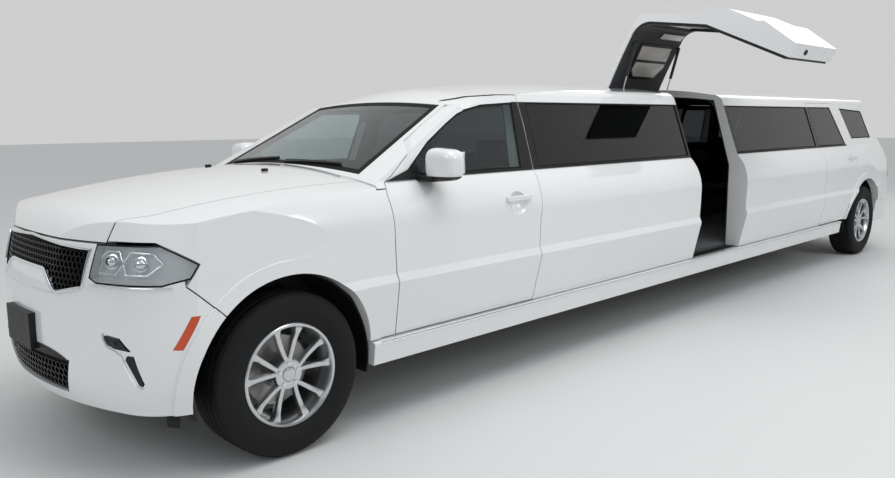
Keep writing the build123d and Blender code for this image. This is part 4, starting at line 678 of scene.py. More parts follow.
class LIMO_OT_rims(bpy.types.Operator):
    """Cast rims with five pairs of spokes, nuts, plain caps and brake discs"""

    bl_idname = "limo.rims"
    bl_label = "Rims"

    def execute(self, context):
        split = context.scene.limo_wheels.split
        # sections in distance along the axle and radius
        barrel = ((-0.114, 0.242), (-0.106, 0.242), (-0.104, 0.2285), (0.104, 0.2285), (0.106, 0.241),
                  (0.112, 0.243), (0.116, 0.238), (0.113, 0.228), (0.098, 0.221), (0.060, 0.217), (-0.095, 0.214),
                  (-0.112, 0.228))
        dish = ((0.0, 0.030), (0.050, 0.030), (0.068, 0.074), (0.086, 0.070), (0.090, 0.055), (0.088, 0.036),
                (0.084, 0.034), (0.084, 0.006), (0.0, 0.006))
        rotor = ((-0.043, 0.070), (-0.043, 0.165), (-0.036, 0.165), (-0.036, 0.080), (-0.027, 0.080),
                 (-0.027, 0.165), (-0.019, 0.165), (-0.019, 0.084), (0.010, 0.078), (0.010, 0.028), (-0.04, 0.028))
        for corner, body, x, side in WHEELS:
            centre = Vector((x, side * WHEEL_Y, AXLE_Z))

            def spun(bm, rows, steps=96):
                add_ring(bm, [centre + Vector((0, side * a, r)) for a, r in rows], centre, steps=steps)

            bm = bmesh.new()
            spun(bm, barrel)
            spun(bm, dish, 64)
            for k in range(10):
                turn = k // 2 * 2 * pi / 5 + (split if k % 2 else -split)
                spoke = bmesh.new()
                bmesh.ops.create_cube(spoke, size=1.0)
                bmesh.ops.subdivide_edges(
                    spoke, edges=[e for e in spoke.edges if abs(e.verts[0].co.z - e.verts[1].co.z) > 0.5], cuts=4)
                for v in spoke.verts:
                    out = v.co.z + 0.5
                    wide = 0.026 + 0.006 * out + 0.016 * max(0.0, out - 0.72) ** 2 * 12
                    front = 0.089 + 0.010 * out * out - 0.008 * sin(pi * out)
                    back = 0.052 + 0.006 * out
                    bend = (-1 if k % 2 else 1) * 0.010 * (1 - out) ** 2
                    narrow = 0.80 if v.co.y > 0 else 1.0
                    v.co = Vector((v.co.x * wide * narrow + bend, front if v.co.y > 0 else back,
                                   0.058 + 0.163 * out))
                round_edges(spoke, [e for e in spoke.edges if e.calc_face_angle(0) > radians(40)], 0.004)
                place = Matrix.Translation(centre) @ Matrix.Diagonal((1, side, 1, 1))
                place = place @ Matrix.Rotation(turn, 4, "Y")
                bmesh.ops.transform(spoke, matrix=place, verts=spoke.verts[:])
                if side < 0:
                    bmesh.ops.reverse_faces(spoke, faces=spoke.faces[:])
                join_mesh(bm, spoke)
            flat = Matrix.Rotation(-side * pi / 2, 4, "X")
            add_disc(bm, 0.033, 0.010, Matrix.Translation(centre + Vector((0, side * 0.087, 0))) @ flat, 40, 0.003)
            rim = add_piece(bm, f"{corner}_rim", body, "silver_alloy", 38)
            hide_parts(f"rim_{corner}")

            bm = bmesh.new()
            for k in range(5):
                turn = 2 * pi * k / 5
                spot = centre + Vector((0.0525 * sin(turn), side * 0.086, 0.0525 * cos(turn)))
                add_disc(bm, 0.0105, 0.018, Matrix.Translation(spot) @ flat, 6, 0.0015)
            add_piece(bm, f"{corner}_nuts", body, "polished_rod", 30)

            bm = bmesh.new()
            spun(bm, rotor, 72)
            for k in range(36):
                turn = 2 * pi * k / 36
                place = Matrix.Translation(centre + Vector((0, side * -0.0315, 0))) @ Matrix.Rotation(turn, 4, "Y")
                add_block(bm, (0.006, 0.0115, 0.078), place @ Matrix.Translation((0, 0, 0.122)))
            add_piece(bm, f"{corner}_brake_disc", body, "brake_iron", 30)
        return {"FINISHED"}


class LIMO_OT_window_trim(bpy.types.Operator):
    """Black seals, pillar panels and belt strips round the glass"""

    bl_idname = "limo.window_trim"
    bl_label = "Window trim"

    def execute(self, context):
        def outward(face):
            return face.normal.y * face.calc_center_median().y > 0 and abs(face.normal.y) > 0.5

        def jet_outward(face):
            return face.normal.dot(open_out) > 0.7

        def rearward(face):
            return face.normal.x < -0.3 and face.normal.z > 0.1

        def forward(face):
            return face.normal.x > 0.2 and face.normal.z > 0.5

        def upright(front, rear):
            return (front, PANE_LOW_Z), (front, PANE_HIGH_Z), (rear, PANE_HIGH_Z), (rear, PANE_LOW_Z)

        def rear_twin(outline):
            return tuple((2 * JET_MID_X - x, z) for x, z in outline)

        open_out = (jet_swing((0, 1, 0.35)) - jet_swing((0, 0, 0))).normalized()
        doors = ("front_door_left", "front_door_right", "rear_door_left", "rear_door_right")
        panes = (
            # glass node, body, ending of the piece's name, finish, faces, band width, lift, depth
            ("fixed_glass", "body", "seal", "seal_rubber_and_gap_shade", outward, 0.011, 0.0004, 0.0034),
            *((f"{door}_glass", door, "seal", "seal_rubber_and_gap_shade", outward, 0.011, 0.0004, 0.0034) for door in doors),
            ("jet_door_glass", "jet_door", "seal", "seal_rubber_and_gap_shade", jet_outward, 0.012, 0.0004, 0.0034),
            ("tailgate_glass", "tailgate", "border", "gloss_black", rearward, 0.022, 0.0004, 0.002),
            ("windscreen", "body", "border", "seal_rubber_and_gap_shade", forward, 0.040, 0.0003, 0.0009),
        )
        for node, body, ending, look, facing, width, lift, depth in panes:
            band = pane_band(node, facing, width, lift, depth)
            add_piece(band, f"{node}_{ending}", body, look, 30)

        door_pillar = ((2.099, PANE_LOW_Z), (2.033, PANE_HIGH_Z), (1.9808, PANE_HIGH_Z), (1.9762, 1.277),
                       (1.9924, PANE_LOW_Z))
        stretch_pillar = ((1.9838, PANE_LOW_Z), (1.9678, 1.277), (1.9724, PANE_HIGH_Z), (1.905, PANE_HIGH_Z),
                          (1.933, PANE_LOW_Z))
        jet_front = upright(0.0745, 0.0475)
        rear_seam = upright(-2.531, -2.5605)
        rear_door = upright(-2.5695, -2.599)
        wide_front = upright(0.0745, -0.0335)
        stretch = (
            # side's name, side, posts at the jet door's place, ends of the belt strips
            ("left", 1, (jet_front, rear_twin(jet_front)), ((1.982, 0.048), (-0.760, -2.560))),
            ("right", -1, (wide_front, rear_twin(wide_front)), ((1.982, -2.560),)),
        )
        for name, side, posts, body_strips in stretch:
            rows = (
                # body, pillar panels, ends of the belt strips
                (f"front_door_{name}", (door_pillar,), ((2.99, 1.995),)),
                ("body", (stretch_pillar, *posts, rear_seam), body_strips),
                (f"rear_door_{name}", (rear_door,), ((-2.570, -3.372),)),
            )
            for body, outlines, strips in rows:
                bm = bmesh.new()
                for outline in outlines:
                    side_slab(bm, outline, 0.0004, 0.0018, side)
                add_piece(bm, f"{body}_{name}_pillar_panels", body, "gloss_black", 30)
                bm = bmesh.new()
                for front, rear in strips:
                    outline = ((front, 0.9995), (front, 1.013), (rear, 1.013), (rear, 0.9995))
                    side_slab(bm, outline, 0.0006, 0.0044, side)
                round_edges(bm, bm.edges[:], 0.0012)
                add_piece(bm, f"{body}_{name}_belt_strip", body, "moulded_black", 30)
        return {"FINISHED"}


class LIMO_OT_grille(bpy.types.Operator):
    """Honeycomb in the upper and lower openings, and a bright surround"""

    bl_idname = "limo.grille"
    bl_label = "Grille"

    def execute(self, context):
        upper = ((-0.529, 0.773), (-0.515, 0.616), (-0.328, 0.577), (0.328, 0.577), (0.515, 0.616), (0.529, 0.773),
                 (0, 0.797))
        lower = ((-0.412, 0.285), (-0.356, 0.135), (0.356, 0.135), (0.412, 0.285))
        tree = skin("grilles")
        for name, outline, cell in (("upper", upper, 0.030), ("lower", lower, 0.034)):
            bm = bmesh.new()
            radius = cell / 3 ** 0.5
            low = min(z for y, z in outline)
            rows = int((max(z for y, z in outline) - low) / (cell * 0.82)) + 2
            for row in range(rows):
                for column in range(-18, 19):
                    y = (column + 0.5 * (row % 2)) * cell
                    z = low + row * cell * 0.82
                    if not within(outline, y, z):
                        continue
                    place = Matrix.Translation((0, y, z)) @ Matrix.Rotation(pi / 2, 4, "Y") @ Matrix.Diagonal(
                        (0.95, 1, 1, 1))
                    rings = []
                    for size in (radius, radius - 0.0030):
                        made = bmesh.ops.create_circle(bm, cap_ends=False, segments=6, radius=size, matrix=place)
                        rings.append(made["verts"])
                    points = [from_front(tree, v.co.y, v.co.z, 0.013) for ring in rings for v in ring]
                    if any(p is None for p in points):
                        bmesh.ops.delete(bm, geom=rings[0] + rings[1], context="VERTS")
                        continue
                    edges = list({e for ring in rings for v in ring for e in v.link_edges})
                    faces = bmesh.ops.bridge_loops(bm, edges=edges)["faces"]
                    for v, p in zip(rings[0] + rings[1], points):
                        v.co = p
                    thicken(bm, faces, (-0.011, 0, 0))
            bmesh.ops.recalc_face_normals(bm, faces=bm.faces[:])
            add_piece(bm, f"{name}_honeycomb", "body", "gloss_black", 25)

        bm = bmesh.new()
        rim = hits(from_front(tree, y * 0.992, z, 0.019) for y, z in divided(upper, 8))
        add_tube(bm, rim, 0.008, True, 3)
        add_piece(bm, "grille_surround", "body", "bright_chrome", 40)
        return {"FINISHED"}


class LIMO_OT_headlamps(bpy.types.Operator):
    """Clear covers over bright bowls with two six-sided light guides each"""

    bl_idname = "limo.headlamps"
    bl_label = "Headlamps"

    def execute(self, context):
        tree = skin("headlamps")
        guides = (
            ((0.588, 0.682), (0.588, 0.752), (0.612, 0.775), (0.672, 0.775), (0.700, 0.728), (0.672, 0.682)),
            ((0.722, 0.682), (0.700, 0.728), (0.722, 0.775), (0.805, 0.770), (0.842, 0.728), (0.805, 0.682)),
        )
        for name, side in SIDES:
            out = Vector((0.80, 0.55 * side, 0.2)).normalized()
            face_of = read_node("headlamps")
            keep_faces(face_of, lambda f: f.calc_center_median().y * side >= 0 and f.normal.dot(out) >= 0.35)
            bowl = face_of.copy()
            border = face_of.copy()
            thicken(face_of, face_of.faces[:], -out * 0.004)
            bmesh.ops.recalc_face_normals(face_of, faces=face_of.faces[:])
            cover = add_piece(face_of, f"headlamp_{name}_cover", "body", "lamp_cover", 40)
            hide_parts("headlamps")

            bmesh.ops.translate(bowl, vec=-out * 0.007, verts=bowl.verts[:])
            ring = edge_band(bowl, 0.012)
            floor = [f for f in bowl.faces if f not in ring]
            verts = list({v for f in floor for v in f.verts})
            bmesh.ops.translate(bowl, vec=-out * 0.034, verts=verts)
            add_piece(bowl, f"headlamp_{name}_bowl", "body", "lamp_reflector", 40)

            edge = edge_band(border, 0.007)
            keep_faces(border, lambda f: f in edge)
            bmesh.ops.translate(border, vec=out * 0.0008, verts=border.verts[:])
            add_piece(border, f"headlamp_{name}_border", "body", "gloss_black", 40)

            bars, eyes = bmesh.new(), bmesh.new()
            for guide in guides:
                line = hits(from_front(tree, side * y, z) for y, z in divided(guide, 4))
                line = [p - out * 0.020 for p in line]
                add_tube(bars, line, 0.0055, True, 3)
                middle = sum(line, Vector()) / len(line) - out * 0.012
                turn = out.to_track_quat("Z", "Y").to_matrix().to_4x4()
                add_disc(eyes, 0.034, 0.020, Matrix.Translation(middle) @ turn, 28, 0.004)
                bmesh.ops.create_uvsphere(eyes, u_segments=24, v_segments=12, radius=0.027,
                                          matrix=Matrix.Translation(middle + out * 0.006) @ turn)
            add_piece(bars, f"headlamp_{name}_guides", "body", "bright_chrome", 40)
            add_piece(eyes, f"headlamp_{name}_projectors", "body", "mirror_silver", 40)
        return {"FINISHED"}


class LIMO_OT_fog_lamps(bpy.types.Operator):
    """Dark lamp and slot set in each bright corner bezel"""

    bl_idname = "limo.fog_lamps"
    bl_label = "Fog lamps"

    def execute(self, context):
        tree = skin("fog_lamps")
        lamp = ((0.645, 0.428), (0.718, 0.420), (0.766, 0.372), (0.700, 0.378), (0.662, 0.392), (0.648, 0.410))
        slot = ((0.752, 0.352), (0.776, 0.350), (0.803, 0.232), (0.797, 0.222), (0.787, 0.228), (0.745, 0.335))
        bm, glass = bmesh.new(), bmesh.new()
        for side in (1, -1):
            for outline, target, lift in ((slot, bm, 0.002), (lamp, bm, 0.002), (lamp, glass, 0.005)):
                points = [from_front(tree, side * y, z, lift) for y, z in outline]
                if all(p is not None for p in points):
                    add_slab(target, points, Vector((0.003, 0.001 * side, 0)))
            hit = from_front(tree, side * 0.700, 0.402, 0.004)
            if hit is not None:
                turn = Vector((1, 0.5 * side, 0)).to_track_quat("Z", "Y").to_matrix().to_4x4()
                bmesh.ops.create_uvsphere(glass, u_segments=20, v_segments=10, radius=0.013,
                                          matrix=Matrix.Translation(hit) @ turn)
        add_piece(bm, "fog_lamp_recesses", "body", "gloss_black", 30)
        add_piece(glass, "fog_lamp_lenses", "body", "dark_glass", 30)
        return {"FINISHED"}


class LIMO_OT_mirrors(bpy.types.Operator):
    """Door mirrors with white caps, black feet and silvered glass"""

    bl_idname = "limo.mirrors"
    bl_label = "Mirrors"

    def execute(self, context):
        mid_x = 2.868
        for name, side in SIDES:
            body = f"front_door_{name}"
            bm = bmesh.new()
            bmesh.ops.create_uvsphere(bm, u_segments=40, v_segments=24, radius=1.0)
            for v in bm.verts:
                square = [abs(c) ** 0.55 * (1 if c > 0 else -1) for c in v.co]
                inner = 1.0 - 0.18 * (square[1] * 0.5 + 0.5)
                v.co = Vector((mid_x + square[0] * (0.088 if square[0] > 0 else 0.066) * inner,
                               side * (0.990 + square[1] * 0.100), 1.072 + square[2] * 0.094 * inner))
            foot = bm.copy()
            cut_level(bm, 1.014, clear_inner=True)
            cap = add_piece(bm, f"mirror_{name}_cap", body, "gloss_white_paint", 40)
            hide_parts(f"mirror_{name}")
            cut_level(foot, 1.0125, clear_outer=True)
            bmesh.ops.scale(foot, vec=(1.03, 1, 1), verts=foot.verts[:], space=Matrix.Translation((-mid_x, 0, 0)))
            add_block(foot, (0.110, 0.130, 0.030), Matrix.Translation((2.905, side * 0.905, 0.999)), 0.010)
            side_slab(foot, ((3.165, 0.996), (3.000, 1.048), (2.985, 1.020), (2.840, 1.020), (2.840, 0.996)), 0.001,
                      0.010, side)
            add_piece(foot, f"mirror_{name}_foot", body, "moulded_black", 40)
            bm = bmesh.new()
            add_block(bm, (0.006, 0.150, 0.112), Matrix.Translation((2.8025, side * 0.985, 1.082)), 0.0028)
            add_piece(bm, f"mirror_{name}_glass", body, "mirror_silver", 30)
        return {"FINISHED"}


class LIMO_OT_side_trim(bpy.types.Operator):
    """Bright sill strips, ribbed step mat and washer nozzles on the hood"""

    bl_idname = "limo.side_trim"
    bl_label = "Side trim"

    def execute(self, context):
        bm = bmesh.new()
        for side in (1, -1):
            add_block(bm, (6.40, 0.008, 0.016), Matrix.Translation((0.080, side * 0.9395, 0.1965)), 0.003)
        add_piece(bm, "sill_strips", "body", "bright_chrome", 30)
        bm = bmesh.new()
        add_block(bm, (0.780, 0.096, 0.007), Matrix.Translation((JET_MID_X, 0.828, 0.1987)), 0.002)
        for k in range(5):
            place = Matrix.Translation((JET_MID_X, 0.792 + k * 0.018, 0.2024))
            add_block(bm, (0.740, 0.008, 0.003), place, 0.001)
        add_piece(bm, "step_mat", "body", "moulded_black", 30)
        bm = bmesh.new()
        tree = skin("hood")
        for y in (0.30, -0.30):
            hit = tree.ray_cast(Vector((3.52, y, 3)), Vector((0, 0, -1)))[0]
            if hit is not None:
                add_block(bm, (0.034, 0.020, 0.016), Matrix.Translation(hit + Vector((0, 0, 0.005))), 0.004)
        add_piece(bm, "washer_nozzles", "hood", "moulded_black", 30)
        return {"FINISHED"}


class LIMO_OT_front_seats(bpy.types.Operator):
    """Padded front seats on plain plinths"""

    bl_idname = "limo.front_seats"
    bl_label = "Front seats"

    def execute(self, context):
        for name, side in SIDES:
            y = side * 0.380
            base = bmesh.new()
            add_block(base, (0.460, 0.400, 0.185), Matrix.Translation((2.205, y, 0.320)), 0.020)
            for spread in (-0.055, 0.055):
                add_tube(base, [Vector((1.862, y + spread, 0.98)), Vector((1.842, y + spread, 1.08))], 0.006)
            plinth = add_piece(base, f"front_seat_{name}_plinth", "body", "moulded_black", 30)
            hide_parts("front_seats")
            lean = Matrix.Rotation(radians(-11.3), 4, "Y")
            turned = Matrix.Rotation(pi / 2, 4, "Y") @ Matrix.Rotation(pi / 2, 4, "Z")
            pads = (
                # part, width and height, thickness, middle, turn, crown, sewn channels
                ("cushion", (0.480, 0.470, 0.150), (2.240, 0.470), Matrix.Rotation(radians(-3.5), 4, "Y"), 0.16, 3),
                ("back", (0.470, 0.510, 0.118), (1.9005, 0.750), lean @ turned, 0.22, 3),
                ("headrest", (0.270, 0.150, 0.088), (1.8350, 1.092), lean @ turned, 0.25, 0),
            )
            for part, size, (x, z), turn, crown, channels in pads:
                place = Matrix.Translation((x, y, z)) @ turn
                add_pad(f"front_seat_{name}_{part}", size, place, crown, channels)
        return {"FINISHED"}


class LIMO_OT_lounge(bpy.types.Operator):
    """Lounge bench of seven padded places along the right wall"""

    bl_idname = "limo.lounge"
    bl_label = "Lounge bench"

    def execute(self, context):
        bm = bmesh.new()
        add_block(bm, (4.880, 0.470, 0.185), Matrix.Translation((-0.735, -0.505, 0.3185)), 0.012)
        plinth = add_piece(bm, "lounge_plinth", "body", "dark_lining", 30)
        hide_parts("lounge_bench")
        lean = Matrix.Rotation(radians(7.1), 4, "X") @ Matrix.Rotation(-pi / 2, 4, "X")
        for k in range(7):
            x = -2.835 + 0.7 * k
            seat, back = Matrix.Translation((x, -0.4195, 0.4805)), Matrix.Translation((x, -0.6810, 0.7450))
            add_pad(f"lounge_seat_{k + 1}", (0.692, 0.365, 0.135), seat, 0.16, 3)
            add_pad(f"lounge_back_{k + 1}", (0.692, 0.370, 0.100), back @ lean, 0.22, 3)
        return {"FINISHED"}


class LIMO_OT_cockpit(bpy.types.Operator):
    """Steering wheel on its column, instrument cowl and inner mirror"""

    bl_idname = "limo.cockpit"
    bl_label = "Cockpit"

    def execute(self, context):
        bm = bmesh.new()
        centre = Vector((2.665, 0.380, 0.905))
        tilt = Matrix.Translation(centre) @ Matrix.Rotation(radians(-26), 4, "Y")
        ring = [tilt @ Vector((0, 0.182 * cos(k * pi / 24), 0.182 * sin(k * pi / 24))) for k in range(48)]
        add_tube(bm, ring, 0.0155, True, 4)
        add_block(bm, (0.045, 0.150, 0.110), tilt @ Matrix.Translation((0.015, 0, -0.010)), 0.018)
        for turn in (0.12, pi - 0.12, 1.5 * pi):
            reach = Vector((0, cos(turn), sin(turn)))
            add_tube(bm, [tilt @ (reach * 0.06 + Vector((0.012, 0, 0))), tilt @ (reach * 0.178)], 0.011)
        add_tube(bm, [tilt @ Vector((0.030, 0, 0)), Vector((2.930, 0.380, 0.775))], 0.030, False, 4)
        add_piece(bm, "steering_wheel", "body", "black_leather", 40)
        bm = bmesh.new()
        add_block(bm, (0.190, 0.420, 0.060), Matrix.Translation((2.995, 0.380, 0.920)), 0.024, 3)
        add_block(bm, (0.028, 0.420, 0.170), Matrix.Translation((2.886, 0, 0.745)), 0.010)
        add_block(bm, (0.026, 0.230, 0.060), Matrix.Translation((2.545, 0, 1.318)), 0.010)
        add_tube(bm, [Vector((2.552, 0, 1.330)), Vector((2.575, 0, 1.380))], 0.008)
        add_piece(bm, "dash_fittings", "body", "moulded_black", 35)
        return {"FINISHED"}


class LIMO_OT_jet_door_trim(bpy.types.Operator):
    """Pale panels, latch and edge seal on the inside of the jet door"""

    bl_idname = "limo.jet_door_trim"
    bl_label = "Jet door trim"

    def execute(self, context):
        def ceiling(x, y, drop):
            return jet_swing((x, y, 1.490 - DOME * y * y - drop))

        inward = (jet_swing((0, 0, -1)) - jet_swing((0, 0, 0))).normalized()
        border = ((-0.118, 0.205), (-0.118, 0.462), (-0.640, 0.462), (-0.640, 0.262), (-0.545, 0.145),
                  (-0.180, 0.145))
        upper = ((-0.142, 0.318), (-0.142, 0.438), (-0.616, 0.438), (-0.616, 0.318))
        lower = ((-0.142, 0.226), (-0.152, 0.296), (-0.616, 0.296), (-0.616, 0.262), (-0.524, 0.167),
                 (-0.200, 0.167))
        bm = bmesh.new()
        add_slab(bm, [ceiling(x, y, 0.0010) for x, y in border], inward * 0.008)
        round_edges(bm, bm.edges[:], 0.0030)
        add_piece(bm, "jet_door_panel_frame", "jet_door", "moulded_black", 35)
        bm = bmesh.new()
        for outline in (upper, lower):
            add_slab(bm, [ceiling(x, y, 0.0070) for x, y in outline], inward * 0.006)
        round_edges(bm, bm.edges[:], 0.0025)
        slope = Vector((0, 0.91, -0.41))
        corner = Vector((-0.520, 0.5445, 1.4500))
        down = Vector((0, -0.41, -0.91))
        turn = Matrix.Rotation(JET_OPEN, 4, "X")
        ends = []
        for along, across in ((-0.170, -0.030), (-0.170, 0.030), (0.170, 0.030), (0.170, -0.030)):
            ends.append(jet_swing(corner + Vector((along, 0, 0)) + slope * across))
        small = bmesh.new()
        add_slab(small, ends, (turn @ down.to_4d()).to_3d() * 0.012)
        round_edges(small, small.edges[:], 0.006, 3)
        join_mesh(bm, small)
        add_piece(bm, "jet_door_pale_panels", "jet_door", "pale_panel", 35)

        bm = bmesh.new()
        end = jet_swing((-0.210, 0.845, 0.2120))
        place = Matrix.Translation(end) @ turn
        add_disc(bm, 0.021, 0.006, place @ Matrix.Diagonal((1.35, 1, 1, 1)), 32, 0.0015)
        add_block(bm, (0.012, 0.030, 0.010), place @ Matrix.Translation((0, 0, -0.002)), 0.003)
        add_piece(bm, "jet_door_latch", "jet_door", "gloss_black", 35)

        bm = bmesh.new()
        bend = ((0.716, 1.130), (0.648, 1.360), (0.634, 1.402), (0.593, 1.444), (0.545, 1.462), (0.490, 1.473))
        for x in (0.0190, -0.7310):
            line = [jet_swing((x, 0.783, z)) for z in (0.260, 0.520, 0.780, 0.900)]
            line += [jet_swing((x, y, z)) for y, z in bend]
            line += [jet_swing((x, y, 1.498 - DOME * y * y)) for y in (0.400, 0.300, 0.200, 0.100)]
            add_tube(bm, line, 0.0065, False, 3)
        add_piece(bm, "jet_door_edge_seal", "jet_door", "seal_rubber_and_gap_shade", 40)
        return {"FINISHED"}


class LIMO_OT_tail_trim(bpy.types.Operator):
    """Bands and clear lower panes on the tail lamps, and the gate pull"""

    bl_idname = "limo.tail_trim"
    bl_label = "Tail trim"

    def execute(self, context):
        low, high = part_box("tail_lamps")
        tree = skin("tail_lamps")
        bands = bmesh.new()
        clear = bmesh.new()
        for side in (1, -1):
            across = [side * (high.y - 0.020 - 0.012 * k) for k in range(7)]
            for target, bottom, top in ((clear, 0.20, 0.34), (bands, 0.36, 0.385), (bands, 0.60, 0.625)):
                z0, z1 = (low.z + (high.z - low.z) * share for share in (bottom, top))
                outline = hits(from_behind(tree, y, z0, 0.0015) for y in across)
                outline += hits(from_behind(tree, y, z1, 0.0015) for y in reversed(across))
                if len(outline) > 3:
                    add_slab(target, outline, Vector((-0.002, 0, 0)))
        add_piece(bands, "tail_lamp_bands", "body", "gloss_black", 30)
        add_piece(clear, "tail_lamp_clear_panes", "body", "light_guide", 30)
        gate = skin("tailgate")
        bm = bmesh.new()
        outline = ((0.290, 0.780), (0.290, 0.812), (-0.290, 0.812), (-0.290, 0.780))
        add_slab(bm, [from_behind(gate, y, z, 0.001) for y, z in outline], Vector((-0.012, 0, 0)))
        round_edges(bm, bm.edges[:], 0.004)
        add_piece(bm, "gate_pull", "tailgate", "bright_chrome", 35)
        return {"FINISHED"}


class LIMO_OT_nose_trim(bpy.types.Operator):
    """Painted shelf and bright bars at the grille, band over the intake, air dams"""

    bl_idname = "limo.nose_trim"
    bl_label = "Nose trim"

    def execute(self, context):
        grille, bumper = skin("grilles"), skin("front_bumper")
        shelf_half = 0.345

        def shelf_top(y):
            rise = min(1.0, max(0.0, (shelf_half - abs(y)) / 0.150))
            return 0.574 + 0.090 * rise * rise * (3 - 2 * rise)

        def bar_height(y):
            return shelf_top(y) + 0.004 + max(0.0, abs(y) - shelf_half) * 0.20

        bm = bmesh.new()
        bmesh.ops.create_grid(bm, x_segments=40, y_segments=8, size=0.5)
        for v in bm.verts:
            y = v.co.x * 0.66
            z = 0.5735 + (shelf_top(y) - 0.5735) * (v.co.y + 0.5)
            hit = from_front(grille, y, max(z, 0.5740), 0)
            lift = 0.0215 + 0.004 * sin(pi * min(1.0, v.co.y + 0.5))
            v.co = hit + Vector((lift, 0, z - hit.z))
        thicken(bm, bm.faces[:], (-0.020, 0, 0))
        bmesh.ops.recalc_face_normals(bm, faces=bm.faces[:])
        add_piece(bm, "grille_shelf", "body", "gloss_white_paint", 40)

        bm = bmesh.new()
        bar = [-0.505 + 1.010 * k / 60 for k in range(61)]
        add_tube(bm, hits(from_front(grille, y, bar_height(y), 0.024) for y in bar), 0.0075, False, 3)
        for side in (1, -1):
            strip = [side * (0.560 + 0.027 * k) for k in range(13)]
            add_tube(bm, hits(from_front(bumper, y, 0.6315, 0.001) for y in strip), 0.0055, False, 3)
        add_piece(bm, "nose_bright_bars", "body", "bright_chrome", 40)

        bm = bmesh.new()
        bmesh.ops.create_grid(bm, x_segments=28, y_segments=3, size=0.5)
        for v in bm.verts:
            y, share = v.co.x * 0.80, v.co.y + 0.5
            z = 0.2915 + share * 0.040 * (1 - (v.co.x * 2) ** 4)
            v.co = from_front(bumper, y, z, 0.0012)
        thicken(bm, bm.faces[:], (0.003, 0, 0))
        bmesh.ops.recalc_face_normals(bm, faces=bm.faces[:])
        for side in (1, -1):
            place = Matrix.Translation((AXLE_X + 0.525, side * 0.815, 0.045)) @ Matrix.Rotation(side * 0.5, 4, "Z")
            add_block(bm, (0.014, 0.060, 0.050), place, 0.005)
        add_piece(bm, "intake_band_and_air_dams", "body", "moulded_black", 35)
        return {"FINISHED"}


class LIMO_OT_gap_shade_strips(bpy.types.Operator):
    """Black rubber strips in the gaps round the side doors and beside the hood, which paint the shade inside the
    gaps
    """

    bl_idname = "limo.door_seals"
    bl_label = "Gap shade strips"

    def execute(self, context):
        front_seam = ((3.160, SILL_SEAM_Z), (3.194, 0.700), (3.200, 0.930), (3.181, 0.990), (3.122, 1.021))
        b_seam = ((2.047, SILL_SEAM_Z), (2.036, 0.709), (2.013, 0.900), (1.988, 0.997), (1.979, 1.100),
                  (1.971, 1.277), (1.976, RAIL_SEAM_Z))
        rear_seam = tuple((SEAM_X, z) for z in (SILL_SEAM_Z, 0.500, 0.735, 0.890, 0.998, RAIL_SEAM_Z))
        bm = bmesh.new()
        for side in (1, -1):
            for seam in (front_seam, b_seam, rear_seam):
                line = []
                for (x0, z0), (x1, z1) in zip(seam, seam[1:]):
                    steps = max(2, int((z1 - z0) / 0.04))
                    for k in range(steps):
                        z = z0 + (z1 - z0) * k / steps
                        line.append(Vector((x0 + (x1 - x0) * k / steps, side * (body_y(z) - 0.0055), z)))
                add_tube(bm, line, 0.0022, False, 2)
        # Painted shade: black tubes sit in the door gaps so that the gaps read dark
        add_piece(bm, "door_gap_shade_strips", "body", "seal_rubber_and_gap_shade", 50)

        hood = read_node("hood")
        keep_faces(hood, lambda f: f.normal.z >= 0.25)
        bm = bmesh.new()
        for side in (1, -1):
            line = set()
            for edge in hood.edges:
                ends = [v.co for v in edge.verts]
                along = ends[1] - ends[0]
                if edge.is_boundary and abs(along.x) > abs(along.y) and ends[0].y * side > 0.4:
                    line.update((p.x, p.y + side * 0.003, p.z - 0.006) for p in ends)
            add_tube(bm, [Vector(p) for p in sorted(line)], 0.0024, False, 2)
        hood.free()
        # Painted shade: black tubes sit along the hood's side gaps so that the gaps read dark
        add_piece(bm, "hood_gap_shade_strips", "body", "seal_rubber_and_gap_shade", 50)
        return {"FINISHED"}


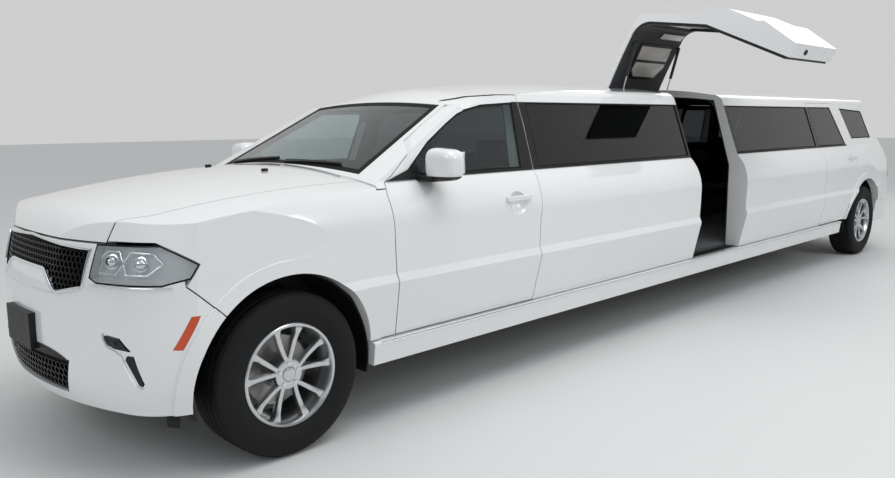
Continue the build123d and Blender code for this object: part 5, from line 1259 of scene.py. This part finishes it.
class LIMO_OT_stage(bpy.types.Operator):
    """Pale floor, soft studio light and the camera"""

    bl_idname = "limo.stage"
    bl_label = "Stage"

    def execute(self, context):
        scene = context.scene
        sizes = scene.limo_stage
        bm = bmesh.new()
        bmesh.ops.create_grid(bm, x_segments=1, y_segments=1, size=60,
                              matrix=Matrix.Translation((0, 0, CAD_LOW.z - 0.001)))
        mesh = bpy.data.meshes.new("floor")
        bm.to_mesh(mesh)
        bm.free()
        mesh.materials.append(finish("studio_floor"))
        floor = bpy.data.objects.new("floor", mesh)
        scene.collection.objects.link(floor)

        world = bpy.data.worlds.new("studio")
        world.use_nodes = True
        tree = world.node_tree
        ramp = tree.nodes.new("ShaderNodeValToRGB")
        split = tree.nodes.new("ShaderNodeSeparateXYZ")
        coords = tree.nodes.new("ShaderNodeTexCoord")
        tree.links.new(coords.outputs["Generated"], split.inputs[0])
        tree.links.new(split.outputs["Z"], ramp.inputs[0])
        rows = ramp.color_ramp.elements
        rows[0].position, rows[0].color = 0.0, (0.30, 0.31, 0.30, 1)
        rows[1].position, rows[1].color = 1.0, (0.86, 0.93, 1.0, 1)
        for place, colour in ((0.10, (0.24, 0.25, 0.25, 1)), (0.20, (0.34, 0.37, 0.39, 1)),
                              (0.34, (0.80, 0.88, 0.96, 1))):
            rows.new(place).color = colour
        toward = math_node(tree, "ADD", split.outputs["X"], split.outputs["Y"])
        side = tree.nodes.new("ShaderNodeMapRange")
        side.interpolation_type = "SMOOTHSTEP"
        tree.links.new(toward, side.inputs["Value"])
        side.inputs["From Min"].default_value = -0.35
        side.inputs["From Max"].default_value = 0.35
        shade = mix_colour(tree, side.outputs["Result"], (1.0, 1.0, 1.0, 1), ramp.outputs[0])
        tree.links.new(shade, tree.nodes["Background"].inputs["Color"])
        tree.nodes["Background"].inputs["Strength"].default_value = sizes.sky
        scene.world = world
        scene.view_settings.view_transform = "Standard"

        for name, spot, size, share in LIGHTS:
            lamp = bpy.data.lights.new(name, "AREA")
            lamp.shape = "SQUARE"
            lamp.size = size
            lamp.energy = sizes.key * share
            light = bpy.data.objects.new(name, lamp)
            light.location = spot
            light.rotation_mode = "QUATERNION"
            light.rotation_quaternion = (LIGHT_AIM - Vector(spot)).to_track_quat("-Z", "Y")
            scene.collection.objects.link(light)

        data = bpy.data.cameras.new("camera")
        data.lens = sizes.lens
        data.sensor_width = 36
        camera = bpy.data.objects.new("camera", data)
        camera.location = CAMERA_PLACE
        level = cos(CAMERA_PITCH)
        look = Vector((level * cos(CAMERA_YAW), level * sin(CAMERA_YAW), sin(CAMERA_PITCH)))
        camera.rotation_mode = "QUATERNION"
        roll = Matrix.Rotation(CAMERA_ROLL, 3, "Z").to_quaternion()
        camera.rotation_quaternion = look.to_track_quat("-Z", "Y") @ roll
        scene.collection.objects.link(camera)
        scene.camera = camera
        return {"FINISHED"}


STEPS = (LIMO_OT_finishes, LIMO_OT_tyres, LIMO_OT_rims, LIMO_OT_window_trim, LIMO_OT_grille, LIMO_OT_headlamps,
         LIMO_OT_fog_lamps, LIMO_OT_mirrors, LIMO_OT_side_trim, LIMO_OT_front_seats, LIMO_OT_lounge,
         LIMO_OT_cockpit, LIMO_OT_jet_door_trim, LIMO_OT_tail_trim, LIMO_OT_nose_trim, LIMO_OT_gap_shade_strips,
         LIMO_OT_stage)


class LIMO_PT_sidebar(bpy.types.Panel):
    """Settings and steps of the limousine"""

    bl_idname = "LIMO_PT_sidebar"
    bl_label = "Stretch Limousine"
    bl_space_type = "VIEW_3D"
    bl_region_type = "UI"
    bl_category = "Limousine"

    def draw(self, context):
        for settings in (context.scene.limo_paint, context.scene.limo_wheels, context.scene.limo_stage):
            for key in settings.bl_rna.properties.keys():
                if key not in ("rna_type", "name"):
                    self.layout.prop(settings, key)
        for step in STEPS:
            self.layout.operator(step.bl_idname)


CLASSES = (LimoPaintSettings, LimoWheelSettings, LimoStageSettings, *STEPS, LIMO_PT_sidebar)


def register():
    for cls in CLASSES:
        bpy.utils.register_class(cls)
    bpy.types.Scene.limo_paint = bpy.props.PointerProperty(type=LimoPaintSettings)
    bpy.types.Scene.limo_wheels = bpy.props.PointerProperty(type=LimoWheelSettings)
    bpy.types.Scene.limo_stage = bpy.props.PointerProperty(type=LimoStageSettings)


def unregister():
    del bpy.types.Scene.limo_stage
    del bpy.types.Scene.limo_wheels
    del bpy.types.Scene.limo_paint
    for cls in reversed(CLASSES):
        bpy.utils.unregister_class(cls)


def main():
    register()
    for step in STEPS:
        group, name = step.bl_idname.split(".")
        getattr(getattr(bpy.ops, group), name)()


if __name__ == "__main__":
    main()
